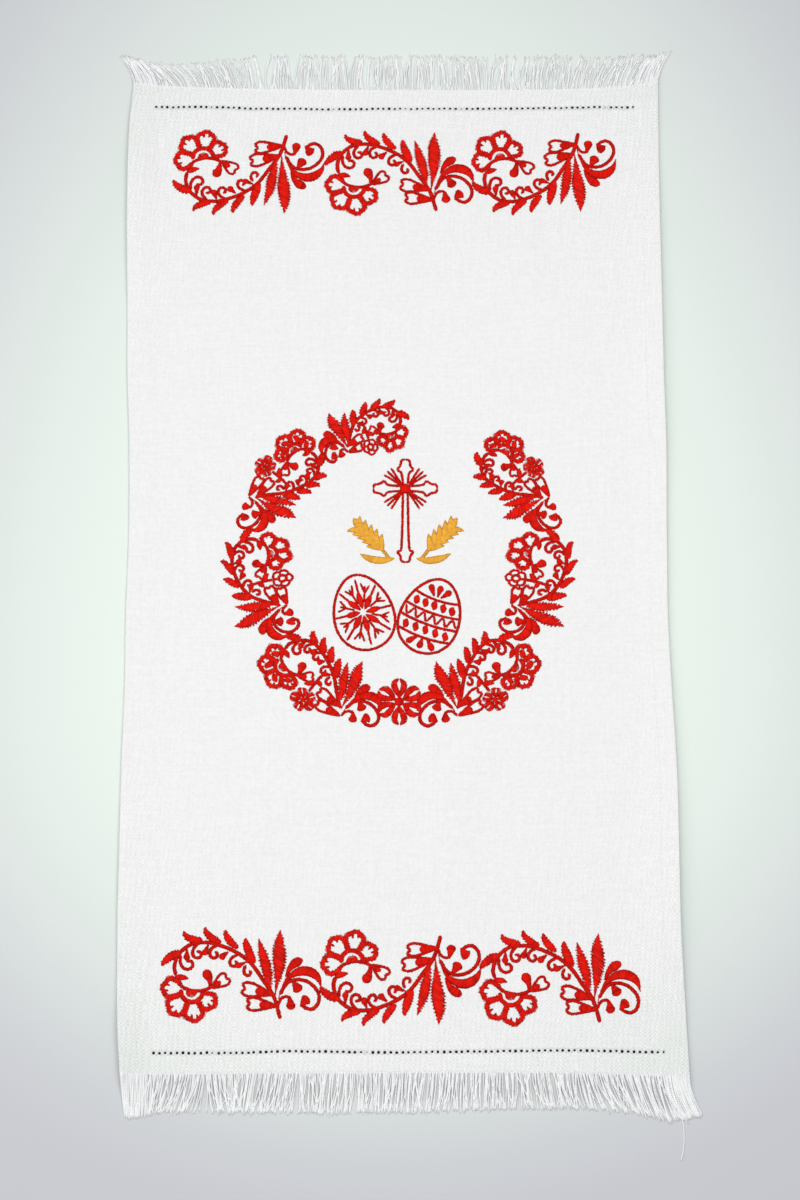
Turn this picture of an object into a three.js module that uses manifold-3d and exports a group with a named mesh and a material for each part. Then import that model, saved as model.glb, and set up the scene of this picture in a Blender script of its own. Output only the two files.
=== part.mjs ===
// An embroidered ritual towel lying flat: one cloth panel with folded side hems, and a fringe of free
// warp ends at each end. Millimetres, +Z up, the towel's length along Y. The origin is the middle of the
// underside, on the surface that the towel lies on.
import * as THREE from "three";
import Module from "manifold-3d";
import { mergeVertices } from "three/addons/utils/BufferGeometryUtils.js";

const wasm = await Module();
wasm.setup();

// Driving dimensions
const CLOTH_THICKNESS = 1.2;
const HEM_THICKNESS = 2.0; // the side hem is the cloth folded under itself
const HEM_WIDTH = 15.5;
const HEM_SLOPE = 2.5; // where the face comes down from the hem to the panel
const FOLD_ROUNDING = 1.2; // the hem's outer edge is a soft fold, not a corner
const STRIP_DEPTH = 3.0; // woven edge that the fringe is rooted in
const PARTING_GAP = 0.3; // between the woven edge strip and the cloth
const STRANDS_PER_END = 149;
const STRAND_ROOT_WIDTH = 1.8;
const STRAND_TIP_WIDTH = 1.1;
const STRAND_HEIGHT = 1.0;
const STRAND_TIP_HEIGHT = 0.7;
const STRAND_STEPS = 3;
const STRAND_CURVE = 1.5; // over 1, so that a strand leaves its edge squarely and leans further out
const PANEL_COLUMNS = 16;
const CLOTH_ROWS = 40;
const STRIP_ROWS = 1;

// The two long edges, as uneven as they lie: a row for each height along the towel.
const longEdges = [
  { y: -326, left: -171.6, right: 178.7 },
  { y: -286, left: -174.1, right: 177.0 },
  { y: -236, left: -175.1, right: 175.0 },
  { y: -186, left: -175.0, right: 174.8 },
  { y: -135, left: -174.8, right: 174.6 },
  { y: -83, left: -173.9, right: 172.5 },
  { y: -31, left: -174.1, right: 171.0 },
  { y: 22, left: -173.2, right: 171.4 },
  { y: 76, left: -174.0, right: 172.1 },
  { y: 130, left: -176.4, right: 171.5 },
  { y: 185, left: -177.5, right: 171.3 },
  { y: 240, left: -178.6, right: 171.1 },
  { y: 297, left: -178.4, right: 171.5 },
  { y: 326, left: -176.3, right: 171.8 },
];

// The two short edges, where the weft ends and the fringe begins: a row for each place across the towel.
const endEdges = [
  { x: -178, near: -326.5, far: 330.0 },
  { x: -132, near: -326.0, far: 327.2 },
  { x: -43, near: -325.6, far: 325.6 },
  { x: 60, near: -325.2, far: 325.4 },
  { x: 126, near: -326.0, far: 326.5 },
  { x: 176, near: -328.2, far: 331.0 },
];

// Soft lifts of the cloth off the surface: their middle, their half sizes across and along, and their height.
const lifts = [
  { x: 178, y: -214, across: 40, along: 96, height: 3.6 },
  { x: 173, y: 168, across: 30, along: 120, height: 2.2 },
  { x: -180, y: 232, across: 36, along: 74, height: 2.8 },
  { x: -176, y: -206, across: 30, along: 92, height: 2.0 },
  { x: -92, y: -150, across: 26, along: 78, height: 1.1 },
  { x: 34, y: -178, across: 22, along: 66, height: 0.9 },
  { x: 88, y: 196, across: 24, along: 50, height: 0.8 },
];

// How the fringe lies at each place across the towel: how far a tip leans to +X of its root, and how far
// out from the cloth it reaches.
const farFringe = [
  { x: -177, lean: -10.8, reach: 20.7 },
  { x: -150, lean: -14.6, reach: 16.4 },
  { x: -135, lean: -13.6, reach: 16.2 },
  { x: -118, lean: -8.6, reach: 18.6 },
  { x: -98, lean: -3.4, reach: 22.4 },
  { x: -78, lean: 0.6, reach: 23.6 },
  { x: -43, lean: -0.4, reach: 23.8 },
  { x: 12, lean: 0.8, reach: 24.2 },
  { x: 52, lean: -2.6, reach: 23.4 },
  { x: 57, lean: 2.8, reach: 23.2 },
  { x: 104, lean: 3.4, reach: 23.4 },
  { x: 140, lean: 9.6, reach: 21.6 },
  { x: 163, lean: 10.8, reach: 20.8 },
  { x: 172, lean: 8.8, reach: 21.8 },
];
const nearFringe = [
  { x: -172, lean: 2.8, reach: 25.8 },
  { x: -160, lean: -0.8, reach: 26.4 },
  { x: -154, lean: -2.2, reach: 25.0 },
  { x: -138, lean: -6.8, reach: 23.2 },
  { x: -122, lean: -7.2, reach: 23.0 },
  { x: -117, lean: 4.8, reach: 23.6 },
  { x: -92, lean: -3.2, reach: 23.6 },
  { x: -39, lean: -1.2, reach: 24.4 },
  { x: 18, lean: -2.4, reach: 24.0 },
  { x: 61, lean: 0.4, reach: 22.4 },
  { x: 104, lean: 4.6, reach: 21.4 },
  { x: 130, lean: 10.2, reach: 23.0 },
  { x: 160, lean: 10.0, reach: 27.6 },
  { x: 179, lean: 7.8, reach: 22.6 },
];
const STRAY_X = 165; // one warp end at the near right corner was never cut to length
const STRAY = { lean: 7.6, reach: 51.5, bow: 4.2 };
const UNEVEN_LEAN = 0.25;
const UNEVEN_REACH = 0.9;

// The value of a column at a place in a table, on a smooth curve through its rows.
function lookUp(table, key, place, column) {
  const last = table.length - 1;
  let i = 0;
  while (i < last - 1 && place > table[i + 1][key]) i += 1;
  const before = table[Math.max(i - 1, 0)];
  const [from, to] = [table[i], table[i + 1]];
  const after = table[Math.min(i + 2, last)];
  const span = to[key] - from[key];
  const t = THREE.MathUtils.clamp((place - from[key]) / span, 0, 1);
  const slopeFrom = ((to[column] - before[column]) / (to[key] - before[key])) * span;
  const slopeTo = ((after[column] - from[column]) / (after[key] - from[key])) * span;
  const [t2, t3] = [t * t, t * t * t];
  return (
    (2 * t3 - 3 * t2 + 1) * from[column] +
    (t3 - 2 * t2 + t) * slopeFrom +
    (3 * t2 - 2 * t3) * to[column] +
    (t3 - t2) * slopeTo
  );
}

// The value of a column at a place in a table, straight from row to row, for tables with sudden partings.
function lookUpStraight(table, key, place, column) {
  const next = table.findIndex((row) => row[key] >= place);
  if (next <= 0) return next === 0 ? table[0][column] : table.at(-1)[column];
  const [from, to] = [table[next - 1], table[next]];
  return THREE.MathUtils.mapLinear(place, from[key], to[key], from[column], to[column]);
}

// An even-handed wobble between -1 and 1, the same for the same number each time.
function wobble(number) {
  const swing = Math.sin(number * 12.9898) * 43758.5453;
  return 2 * (swing - Math.floor(swing)) - 1;
}

function liftAt(x, y) {
  const swell = (offset, half) => Math.max(0, 1 - (offset / half) ** 2) ** 2;
  return lifts.reduce((sum, l) => sum + l.height * swell(x - l.x, l.across) * swell(y - l.y, l.along), 0);
}

// The sheet's columns, from the left fold to the right one: each one's place between the two long edges,
// and the height of the face there.
function sheetColumns() {
  const hem = [
    { inset: 0, height: CLOTH_THICKNESS },
    { inset: FOLD_ROUNDING, height: HEM_THICKNESS },
    { inset: HEM_WIDTH, height: HEM_THICKNESS },
  ];
  const panelInset = HEM_WIDTH + HEM_SLOPE;
  const panel = Array.from({ length: PANEL_COLUMNS + 1 }, (_, i) => ({
    place: (left, right) =>
      THREE.MathUtils.lerp(left + panelInset, right - panelInset, i / PANEL_COLUMNS),
    height: CLOTH_THICKNESS,
  }));
  const leftHem = hem.map((c) => ({ place: (left) => left + c.inset, height: c.height }));
  const rightHem = hem.map((c) => ({ place: (left, right) => right - c.inset, height: c.height }));
  return [...leftHem, ...panel, ...rightHem.reverse()];
}

// A closed sheet between two lines that run across the towel, on its lifts, with its hems raised.
function sheetGeometry(nearLine, farLine, rows) {
  const columns = sheetColumns();
  const [wide, high] = [columns.length, rows + 1];
  const positions = [];
  for (const face of [0, 1]) {
    for (let j = 0; j < high; j += 1) {
      for (const column of columns) {
        // The edges are read at a straight line along the towel first, and the ends are then bowed.
        const straightY = THREE.MathUtils.lerp(nearLine(0), farLine(0), j / rows);
        const left = lookUp(longEdges, "y", straightY, "left");
        const right = lookUp(longEdges, "y", straightY, "right");
        const x = column.place(left, right);
        const y = THREE.MathUtils.lerp(nearLine(x), farLine(x), j / rows);
        positions.push(x, y, liftAt(x, y) + face * column.height);
      }
    }
  }
  const at = (face, i, j) => face * wide * high + j * wide + i;
  const index = [];
  const quad = (a, b, c, d) => index.push(a, b, c, a, c, d);
  for (let j = 0; j < rows; j += 1) {
    for (let i = 0; i < wide - 1; i += 1) {
      quad(at(1, i, j), at(1, i + 1, j), at(1, i + 1, j + 1), at(1, i, j + 1));
      quad(at(0, i, j), at(0, i, j + 1), at(0, i + 1, j + 1), at(0, i + 1, j));
    }
    quad(at(0, 0, j), at(1, 0, j), at(1, 0, j + 1), at(0, 0, j + 1));
    quad(at(0, wide - 1, j), at(0, wide - 1, j + 1), at(1, wide - 1, j + 1), at(1, wide - 1, j));
  }
  for (let i = 0; i < wide - 1; i += 1) {
    quad(at(0, i, 0), at(0, i + 1, 0), at(1, i + 1, 0), at(1, i, 0));
    quad(at(0, i, rows), at(1, i, rows), at(1, i + 1, rows), at(0, i + 1, rows));
  }
  return indexed(positions, index);
}

function indexed(positions, index) {
  const geometry = new THREE.BufferGeometry();
  geometry.setAttribute("position", new THREE.Float32BufferAttribute(positions, 3));
  geometry.setIndex(index);
  return geometry;
}

// One warp end lying on the surface: a tapering three-sided strand with its flat side down, from inside
// the woven edge strip to its tip.
function strandGeometry(rootX, rootY, outward, { lean, reach, bow = 0 }) {
  const rootDepth = STRIP_DEPTH / 2;
  const positions = [];
  for (let step = 0; step <= STRAND_STEPS; step += 1) {
    const t = step / STRAND_STEPS;
    const x = rootX + lean * t ** STRAND_CURVE + bow * 4 * t * (1 - t);
    const y = rootY + outward * THREE.MathUtils.lerp(-rootDepth, reach, t);
    const halfWidth = THREE.MathUtils.lerp(STRAND_ROOT_WIDTH, STRAND_TIP_WIDTH, t) / 2;
    const height = THREE.MathUtils.lerp(STRAND_HEIGHT, STRAND_TIP_HEIGHT, t);
    positions.push(x - outward * halfWidth, y, 0, x + outward * halfWidth, y, 0, x, y, height);
  }
  const index = [0, 1, 2];
  for (let step = 0; step < STRAND_STEPS; step += 1) {
    for (let side = 0; side < 3; side += 1) {
      const next = (side + 1) % 3;
      const [a, b] = [3 * step + side, 3 * step + next];
      index.push(a, a + 3, b, b, a + 3, b + 3);
    }
  }
  const tip = 3 * STRAND_STEPS;
  index.push(tip, tip + 2, tip + 1);
  return indexed(positions, index);
}

function solidOf(geometry) {
  const merged = mergeVertices(geometry);
  const mesh = new wasm.Mesh({
    numProp: 3,
    vertProperties: new Float32Array(merged.attributes.position.array),
    triVerts: new Uint32Array(merged.index.array),
  });
  return new wasm.Manifold(mesh);
}

function geometryOf(solid) {
  const mesh = solid.getMesh();
  return indexed(Array.from(mesh.vertProperties), Array.from(mesh.triVerts));
}

// A fringe: the woven edge strip with its strands, joined at their roots.
function fringeGeometry(edge, outward, lay, stray) {
  const edgeLine = (x) => lookUp(endEdges, "x", x, edge);
  const innerLine = (x) => edgeLine(x) - outward * STRIP_DEPTH;
  const [nearLine, farLine] = outward > 0 ? [innerLine, edgeLine] : [edgeLine, innerLine];
  let fringe = solidOf(sheetGeometry(nearLine, farLine, STRIP_ROWS));
  const y = edgeLine(0);
  const first = lookUp(longEdges, "y", y, "left") + STRAND_ROOT_WIDTH;
  const last = lookUp(longEdges, "y", y, "right") - STRAND_ROOT_WIDTH;
  const strayNumber = Math.round(((STRAY_X - first) / (last - first)) * (STRANDS_PER_END - 1));
  for (let number = 0; number < STRANDS_PER_END; number += 1) {
    const x = THREE.MathUtils.lerp(first, last, number / (STRANDS_PER_END - 1));
    const even = {
      lean: lookUpStraight(lay, "x", x, "lean") + UNEVEN_LEAN * wobble(number),
      reach: lookUpStraight(lay, "x", x, "reach") + UNEVEN_REACH * wobble(number + 0.5),
    };
    const shape = stray && number === strayNumber ? stray : even;
    fringe = fringe.add(solidOf(strandGeometry(x, edgeLine(x), outward, shape)));
  }
  return geometryOf(fringe);
}

const WHITE_CLOTH = { color: 0xf2f2ef, roughness: 0.92, metalness: 0 };
const WHITE_WARP = { color: 0xeceef0, roughness: 0.88, metalness: 0 };

function piece(name, geometry, finish) {
  geometry.computeVertexNormals();
  const mesh = new THREE.Mesh(geometry, new THREE.MeshStandardMaterial(finish));
  mesh.name = name;
  return mesh;
}

const clothInset = STRIP_DEPTH + PARTING_GAP;
const cloth = sheetGeometry(
  (x) => lookUp(endEdges, "x", x, "near") + clothInset,
  (x) => lookUp(endEdges, "x", x, "far") - clothInset,
  CLOTH_ROWS,
);

const towel = new THREE.Group();
towel.add(piece("cloth", cloth, WHITE_CLOTH));
towel.add(piece("fringe_top", fringeGeometry("far", 1, farFringe), WHITE_WARP));
towel.add(piece("fringe_bottom", fringeGeometry("near", -1, nearFringe, STRAY), WHITE_WARP));

export default towel;
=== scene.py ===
import math

import bpy
import numpy as np
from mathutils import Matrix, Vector


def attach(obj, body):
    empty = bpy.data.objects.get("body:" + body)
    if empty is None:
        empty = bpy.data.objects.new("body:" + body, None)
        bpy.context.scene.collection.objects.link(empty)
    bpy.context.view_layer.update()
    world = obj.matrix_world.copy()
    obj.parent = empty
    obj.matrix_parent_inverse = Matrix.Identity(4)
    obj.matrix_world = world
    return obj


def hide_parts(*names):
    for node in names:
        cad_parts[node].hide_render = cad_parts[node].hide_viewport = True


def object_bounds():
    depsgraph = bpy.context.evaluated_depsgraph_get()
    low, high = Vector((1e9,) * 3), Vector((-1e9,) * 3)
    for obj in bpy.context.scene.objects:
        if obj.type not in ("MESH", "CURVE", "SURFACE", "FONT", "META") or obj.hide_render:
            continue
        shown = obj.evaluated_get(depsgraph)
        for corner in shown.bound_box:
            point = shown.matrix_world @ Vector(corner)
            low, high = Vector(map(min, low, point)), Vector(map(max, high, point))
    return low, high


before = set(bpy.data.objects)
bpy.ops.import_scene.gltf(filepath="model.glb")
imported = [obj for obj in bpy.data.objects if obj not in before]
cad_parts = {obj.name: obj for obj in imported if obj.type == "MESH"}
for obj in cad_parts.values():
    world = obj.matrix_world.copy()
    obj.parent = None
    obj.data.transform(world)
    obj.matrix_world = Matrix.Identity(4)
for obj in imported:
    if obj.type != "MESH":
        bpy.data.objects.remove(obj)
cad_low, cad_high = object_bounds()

MM = 0.001
TINY = 1e-9  # keeps lengths of nothing out of divisions
rng = np.random.default_rng(12)


def table(columns, *rows):
    """A table as one array for each named column."""
    return dict(zip(columns.split(), np.array(rows, float).T))


# The lie of the cloth, as in the part's solids

LONG_EDGES = table(
    "y left right",
    (-326, -171.6, 178.7),
    (-286, -174.1, 177.0),
    (-236, -175.1, 175.0),
    (-186, -175.0, 174.8),
    (-135, -174.8, 174.6),
    (-83, -173.9, 172.5),
    (-31, -174.1, 171.0),
    (22, -173.2, 171.4),
    (76, -174.0, 172.1),
    (130, -176.4, 171.5),
    (185, -177.5, 171.3),
    (240, -178.6, 171.1),
    (297, -178.4, 171.5),
    (326, -176.3, 171.8),
)
END_EDGES = table(
    "x near far",
    (-178, -326.5, 330.0),
    (-132, -326.0, 327.2),
    (-43, -325.6, 325.6),
    (60, -325.2, 325.4),
    (126, -326.0, 326.5),
    (176, -328.2, 331.0),
)
LIFTS = table(
    "x y across along height",
    (178, -214, 40, 96, 3.6),
    (173, 168, 30, 120, 2.2),
    (-180, 232, 36, 74, 2.8),
    (-176, -206, 30, 92, 2.0),
    (-92, -150, 26, 78, 1.1),
    (34, -178, 22, 66, 0.9),
    (88, 196, 24, 50, 0.8),
)
# Soft ridges, finer than the lifts above: how far each reaches to its left, to its right and along
CREASES = table(
    "x y left right along height",
    (178, -10, 30, 30, 400, 2.2),
    (176, -112, 26, 26, 70, 1.4),
    (174, 90, 26, 26, 70, 1.2),
    (-181, 286, 26, 30, 60, 1.8),
    (-172, -306, 14, 17, 46, 4.2),
)
CURL_HEIGHT = 1.2
CURL_REACH = 14.0
CURL_WAVES = ((0.25, 31.0, 1), (0.15, 13.0, 2))  # its unevenness along a hem: share, length and shift
CLOTH_THICKNESS = 0.55
FLOOR_GAP = 0.05
FOLD_GAP = 0.07  # between the two layers of a hem
PANEL_Z = FLOOR_GAP + CLOTH_THICKNESS / 2
HEM_Z = PANEL_Z + CLOTH_THICKNESS + FOLD_GAP


def smooth_through(place, keys, values):
    """The values at places on a smooth curve through a table's rows."""
    place = np.clip(place, keys[0], keys[-1])
    last = len(keys) - 1
    i = np.clip(np.searchsorted(keys, place, side="right") - 1, 0, last - 1)
    before, after = np.maximum(i - 1, 0), np.minimum(i + 2, last)
    span = keys[i + 1] - keys[i]
    t = (place - keys[i]) / span
    slope_from = (values[i + 1] - values[before]) / (keys[i + 1] - keys[before]) * span
    slope_to = (values[after] - values[i]) / (keys[after] - keys[i]) * span
    return (
        (2 * t**3 - 3 * t**2 + 1) * values[i]
        + (t**3 - 2 * t**2 + t) * slope_from
        + (3 * t**2 - 2 * t**3) * values[i + 1]
        + (t**3 - t**2) * slope_to
    )


def long_edge(side, y):
    """How far across a long edge lies, at a place along the towel."""
    return smooth_through(y, LONG_EDGES["y"], LONG_EDGES[side])


def end_edge(end, x):
    """How far along a cut end lies, at a place across the towel."""
    return smooth_through(x, END_EDGES["x"], END_EDGES[end])


def hem_curl(x, y):
    """How far the side hems curl up from the floor towards their edges."""
    inset = np.minimum(x - long_edge("left", y), long_edge("right", y) - x)
    uneven = 1
    for share, length, shift in CURL_WAVES:
        uneven = uneven + share * np.sin(y / length + shift * np.sign(x))
    return CURL_HEIGHT * uneven * np.clip(1 - inset / CURL_REACH, 0, 1) ** 2


def swell(apart, reach):
    """A soft rise, from nothing at its reach to one in its middle."""
    return np.maximum(0, 1 - (apart / reach) ** 2) ** 2


def lift_at(x, y):
    """How far the cloth stands off the floor."""
    total = hem_curl(x, y)
    for x0, y0, across, along, height in zip(*LIFTS.values()):
        total = total + height * swell(x - x0, across) * swell(y - y0, along)
    for x0, y0, left, right, along, height in zip(*CREASES.values()):
        total = total + height * swell(x - x0, np.where(x < x0, left, right)) * swell(y - y0, along)
    return total


def face_height(x, y):
    """The height of the panel's upper face."""
    return lift_at(x, y) + PANEL_Z + CLOTH_THICKNESS / 2


# Meshes


def deselect_all():
    if bpy.context.object and bpy.context.object.mode != "OBJECT":
        bpy.ops.object.mode_set(mode="OBJECT")
    bpy.ops.object.select_all(action="DESELECT")


def make_active(piece):
    deselect_all()
    piece.select_set(True)
    bpy.context.view_layer.objects.active = piece


def points_of(mesh):
    """Where the mesh's points are, in rows of three."""
    co = np.empty(len(mesh.vertices) * 3)
    mesh.vertices.foreach_get("co", co)
    return co.reshape(-1, 3)


def corner_points(mesh):
    """The number of the point at each corner of each face."""
    corner = np.empty(len(mesh.loops), int)
    mesh.loops.foreach_get("vertex_index", corner)
    return corner


def add_map(mesh, name, places):
    """A map that has each point of the mesh at its own place."""
    mesh.uv_layers.new(name=name).data.foreach_set("uv", places[corner_points(mesh)].ravel())


def bake_map(mesh):
    """A flat map of the piece from above, which a bake keeps."""
    low = np.array([cad_low.x, cad_low.y])
    scale = 1 / max(cad_high.x - cad_low.x, cad_high.y - cad_low.y)
    add_map(mesh, "OFBake", np.clip((points_of(mesh)[:, :2] - low) * scale, 0, 1))


def new_piece(name, mesh):
    bake_map(mesh)
    piece = bpy.data.objects.new(name, mesh)
    bpy.context.scene.collection.objects.link(piece)
    return piece


def finish_piece(piece, material):
    piece.data.materials.clear()
    piece.data.materials.append(material)
    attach(piece, "root")
    return piece


SECTIONS = {
    # around a thread: to its left, and up from its foot or its middle
    "stitch": np.array([(0.5, 0.0), (0.0, 1.0), (-0.5, 0.0)]),
    "thread": np.array([(0.5, 0.0), (0.0, 0.5), (-0.5, 0.0), (0.0, -0.5)]),
}


def unit(ways):
    """The same directions, each with a length of one."""
    return ways / np.maximum(np.linalg.norm(ways, axis=-1, keepdims=True), TINY)


def thread_piece(name, batches, tones):
    """One joined mesh of many short threads. A batch is (centre lines, widths, heights, section name), with
    centre lines as an array of threads by points by three, in millimetres, and a tone for each point."""
    points, faces, smooth, along, around, tone = [], [], [], [], [], []
    start = 0
    for (lines, widths, heights, section), shades in zip(batches, tones):
        outline = SECTIONS[section]
        count, steps, sides = lines.shape[0], lines.shape[1], len(outline)
        way = unit(np.gradient(lines, axis=1))
        left = unit(np.cross([0.0, 0.0, 1.0], way))
        up = np.cross(way, left)
        spread = left[:, :, None, :] * outline[:, 0][:, None] * widths[:, :, None, None]
        rise = up[:, :, None, :] * outline[:, 1][:, None] * heights[:, :, None, None]
        points.append((lines[:, :, None, :] + spread + rise).reshape(-1, 3))
        number = start + np.arange(count * steps * sides).reshape(count, steps, sides)
        after = np.roll(number, -1, axis=2)
        walls = np.stack([number[:, :-1], after[:, :-1], after[:, 1:], number[:, 1:]], axis=-1)
        faces += walls.reshape(-1, 4).tolist()
        faces += number[:, 0, ::-1].tolist()
        faces += number[:, -1, :].tolist()
        smooth += [True] * (count * (steps - 1) * sides) + [False] * (2 * count)
        length = np.cumsum(np.linalg.norm(np.diff(lines, axis=1, prepend=lines[:, :1]), axis=2), axis=1)
        along.append(np.repeat(length[:, :, None], sides, axis=2).ravel())
        around.append(np.tile(np.arange(sides) / sides, count * steps))
        tone.append(np.repeat(np.broadcast_to(shades, (count, steps)), sides, axis=1).ravel())
        start += count * steps * sides
    mesh = bpy.data.meshes.new(name)
    mesh.from_pydata((np.concatenate(points) * MM).tolist(), [], faces)
    mesh.polygons.foreach_set("use_smooth", smooth)
    add_map(mesh, "thread", np.stack([np.concatenate(along), np.concatenate(around)], axis=1))
    mesh.attributes.new("tone", "FLOAT", "POINT").data.foreach_set("value", np.concatenate(tone))
    return new_piece(name, mesh)


# Materials


def nodes_of(material):
    material.use_nodes = True
    tree = material.node_tree
    return tree, tree.nodes["Principled BSDF"]


def fill(tree, node, inputs):
    """Give a node its inputs: a link from a socket, or a value of its own."""
    for place, value in inputs.items():
        if isinstance(value, bpy.types.NodeSocket):
            tree.links.new(value, node.inputs[place])
        else:
            node.inputs[place].default_value = value
    return node


def add_node(tree, kind, inputs=(), **settings):
    node = tree.nodes.new(kind)
    for name, value in settings.items():
        setattr(node, name, value)
    return fill(tree, node, dict(inputs))


def math_node(tree, operation, a, b=0.0, c=0.0):
    return add_node(tree, "ShaderNodeMath", {0: a, 1: b, 2: c}, operation=operation).outputs[0]


def wave_node(tree, place, angle):
    """A wave along a place, which turns by the angle for each one of it."""
    return math_node(tree, "SINE", math_node(tree, "MULTIPLY", place, angle))


def noise_node(tree, place, scale, detail):
    inputs = {"Vector": place, "Scale": scale, "Detail": detail}
    return add_node(tree, "ShaderNodeTexNoise", inputs).outputs["Fac"]


def ramp_node(tree, value, reach, shares=(0.0, 1.0), **settings):
    """From one share to another, as a value goes over its reach."""
    inputs = {0: value, 1: reach[0], 2: reach[1], 3: shares[0], 4: shares[1]}
    return add_node(tree, "ShaderNodeMapRange", inputs, **settings).outputs[0]


def axes_of(tree, place):
    return add_node(tree, "ShaderNodeSeparateXYZ", {0: place}).outputs


def bump_node(tree, strength, distance, height):
    inputs = {"Strength": strength, "Distance": distance, "Height": height}
    return add_node(tree, "ShaderNodeBump", inputs).outputs[0]


def mix_colours(tree, factor, a, b):
    return add_node(tree, "ShaderNodeMix", {0: factor, 6: a, 7: b}, data_type="RGBA").outputs[2]


def new_group(name, inputs, outputs):
    group = bpy.data.node_groups.new(name, "ShaderNodeTree")
    for socket, kind, value in inputs:
        made = group.interface.new_socket(socket, in_out="INPUT", socket_type=kind)
        if value is not None:
            made.default_value = value
    for socket in outputs:
        group.interface.new_socket(socket, in_out="OUTPUT", socket_type="NodeSocketFloat")
    return group, group.nodes.new("NodeGroupInput"), group.nodes.new("NodeGroupOutput")


def place_group(tree, group, inputs):
    return add_node(tree, "ShaderNodeGroup", inputs, node_tree=group).outputs


def twisted_ply_group():
    """The slanting plies of a twisted thread, on a map with millimetres along and turns around."""
    group, given, out = new_group(
        "twisted_ply",
        [("Map", "NodeSocketVector", None), ("Turns a mm", "NodeSocketFloat", 0.8)],
        ["Height", "Hollow"],
    )
    part = axes_of(group, given.outputs["Map"])
    turned = math_node(group, "MULTIPLY_ADD", part[0], given.outputs["Turns a mm"], part[1])
    height = math_node(group, "MULTIPLY_ADD", wave_node(group, turned, 2 * math.pi), 0.5, 0.5)
    hollow = math_node(group, "POWER", math_node(group, "SUBTRACT", 1.0, height), 2.0)
    fill(group, out, {"Height": height, "Hollow": hollow})
    return group


YARN_DIP = 0.35  # how far a yarn goes down where it passes under another
YARN_SHAPE = 0.6  # below one, a yarn's top is flatter than a wave's
# How often yarns turn thick and thin, to a metre across and along the cloth: warps, then wefts
SLUBS = ((900.0, 28.0, 1.0), (24.0, 800.0, 1.0))
SLUB_HEIGHT = 0.7
# The visible lines of the weave: how many to a metre across and along, and how strong each set is
PATTERN_LINES = ((310.0, -40.0, 0.36), (400.0, -480.0, 0.52), (380.0, 420.0, 0.46))
PATTERN_WANDER = 3.0  # how many lines aside thick yarns push them


def plain_weave_group():
    """Yarns over and under each other, with uneven yarns, on a map in metres along the cloth."""
    group, given, out = new_group(
        "plain_weave",
        [
            ("Map", "NodeSocketVector", None),
            ("Warps a metre", "NodeSocketFloat", 1800.0),
            ("Wefts a metre", "NodeSocketFloat", 1600.0),
        ],
        ["Height", "Hollow", "Uneven", "Crossings"],
    )
    own_map = given.outputs["Map"]
    part = axes_of(group, own_map)
    across = math_node(group, "MULTIPLY", part[0], given.outputs["Warps a metre"])
    along = math_node(group, "MULTIPLY", part[1], given.outputs["Wefts a metre"])

    def yarn(own, other, phase):
        round_top = math_node(group, "ABSOLUTE", wave_node(group, own, math.pi))
        step = math_node(group, "FLOOR", own)
        over = math_node(group, "ADD", math_node(group, "ADD", other, step), phase)
        lift = math_node(group, "MULTIPLY_ADD", wave_node(group, over, math.pi), YARN_DIP, 1 - YARN_DIP)
        return math_node(group, "MULTIPLY", math_node(group, "POWER", round_top, YARN_SHAPE), lift)

    def by_map(operation, amounts):
        return add_node(group, "ShaderNodeVectorMath", {0: own_map, 1: amounts}, operation=operation).outputs

    height = math_node(group, "MAXIMUM", yarn(across, along, 0.0), yarn(along, across, 1.0))
    slubs = [noise_node(group, by_map("MULTIPLY", amounts)["Vector"], 1.0, 2.0) for amounts in SLUBS]
    uneven = math_node(group, "MULTIPLY", math_node(group, "ADD", *slubs), 0.5)
    # where uneven yarns cross they leave a fine slanting pattern, and the reed leaves faint stripes
    crossings = 0.0
    for across_a_metre, along_a_metre, share in PATTERN_LINES:
        lines = by_map("DOT_PRODUCT", (across_a_metre, along_a_metre, 0.0))["Value"]
        pushed = math_node(group, "MULTIPLY_ADD", uneven, PATTERN_WANDER, lines)
        crossings = math_node(group, "MULTIPLY_ADD", wave_node(group, pushed, 2 * math.pi), share, crossings)
    made = {
        "Height": math_node(group, "MULTIPLY_ADD", uneven, SLUB_HEIGHT, height),
        "Hollow": math_node(group, "SUBTRACT", 1.0, height),
        "Uneven": uneven,
        "Crossings": crossings,
    }
    fill(group, out, made)
    return group


THIN_YARN, FULL_YARN = (0.82, 0.815, 0.80, 1), (1.0, 0.985, 0.97, 1)
# Tones that the cloth's colour takes on, with the largest share of each: painted shade between its yarns,
# faint clouds of its own tone, its grain, and painted shade towards its corners
PAINTED_YARN_SHADE, PAINTED_YARN_SHADE_SHARE = (0.69, 0.69, 0.69, 1), 0.3
CLOUD, CLOUD_SHARE, CLOUDS_A_METRE = (0.78, 0.82, 0.80, 1), 0.10, 22.0
GRAIN, GRAIN_SHARE, GRAINS_A_METRE = (0.70, 0.71, 0.72, 1), 0.25, 420.0
GRAIN_REACH = (0.33, 0.67)  # of the noise, from no grain to all of it
PAINTED_CORNER_SHADE, PAINTED_CORNER_SHARE = (0.70, 0.77, 0.71, 1), 0.55
# In metres, half the axes of an oval on the cloth, and how far along its middle lies. Then, in squares of
# the oval's size, where painted shade turns the cloth to its corners' darker tone and where its pattern
# comes out.
SHADE_AND_PATTERN_OVAL = (0.30, 0.355)
SHADE_AND_PATTERN_MIDDLE = 0.01
PAINTED_CORNER_REACH = (0.75, 1.35)
PATTERN_REACH, PATTERN_SHARES = (0.25, 1.0), (0.01, 0.10)
CLOTH_BUMP = (0.5, 0.0002)
HOLLOW_ROUGHER, CLOTH_ROUGHNESS = 0.1, 0.86


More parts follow.
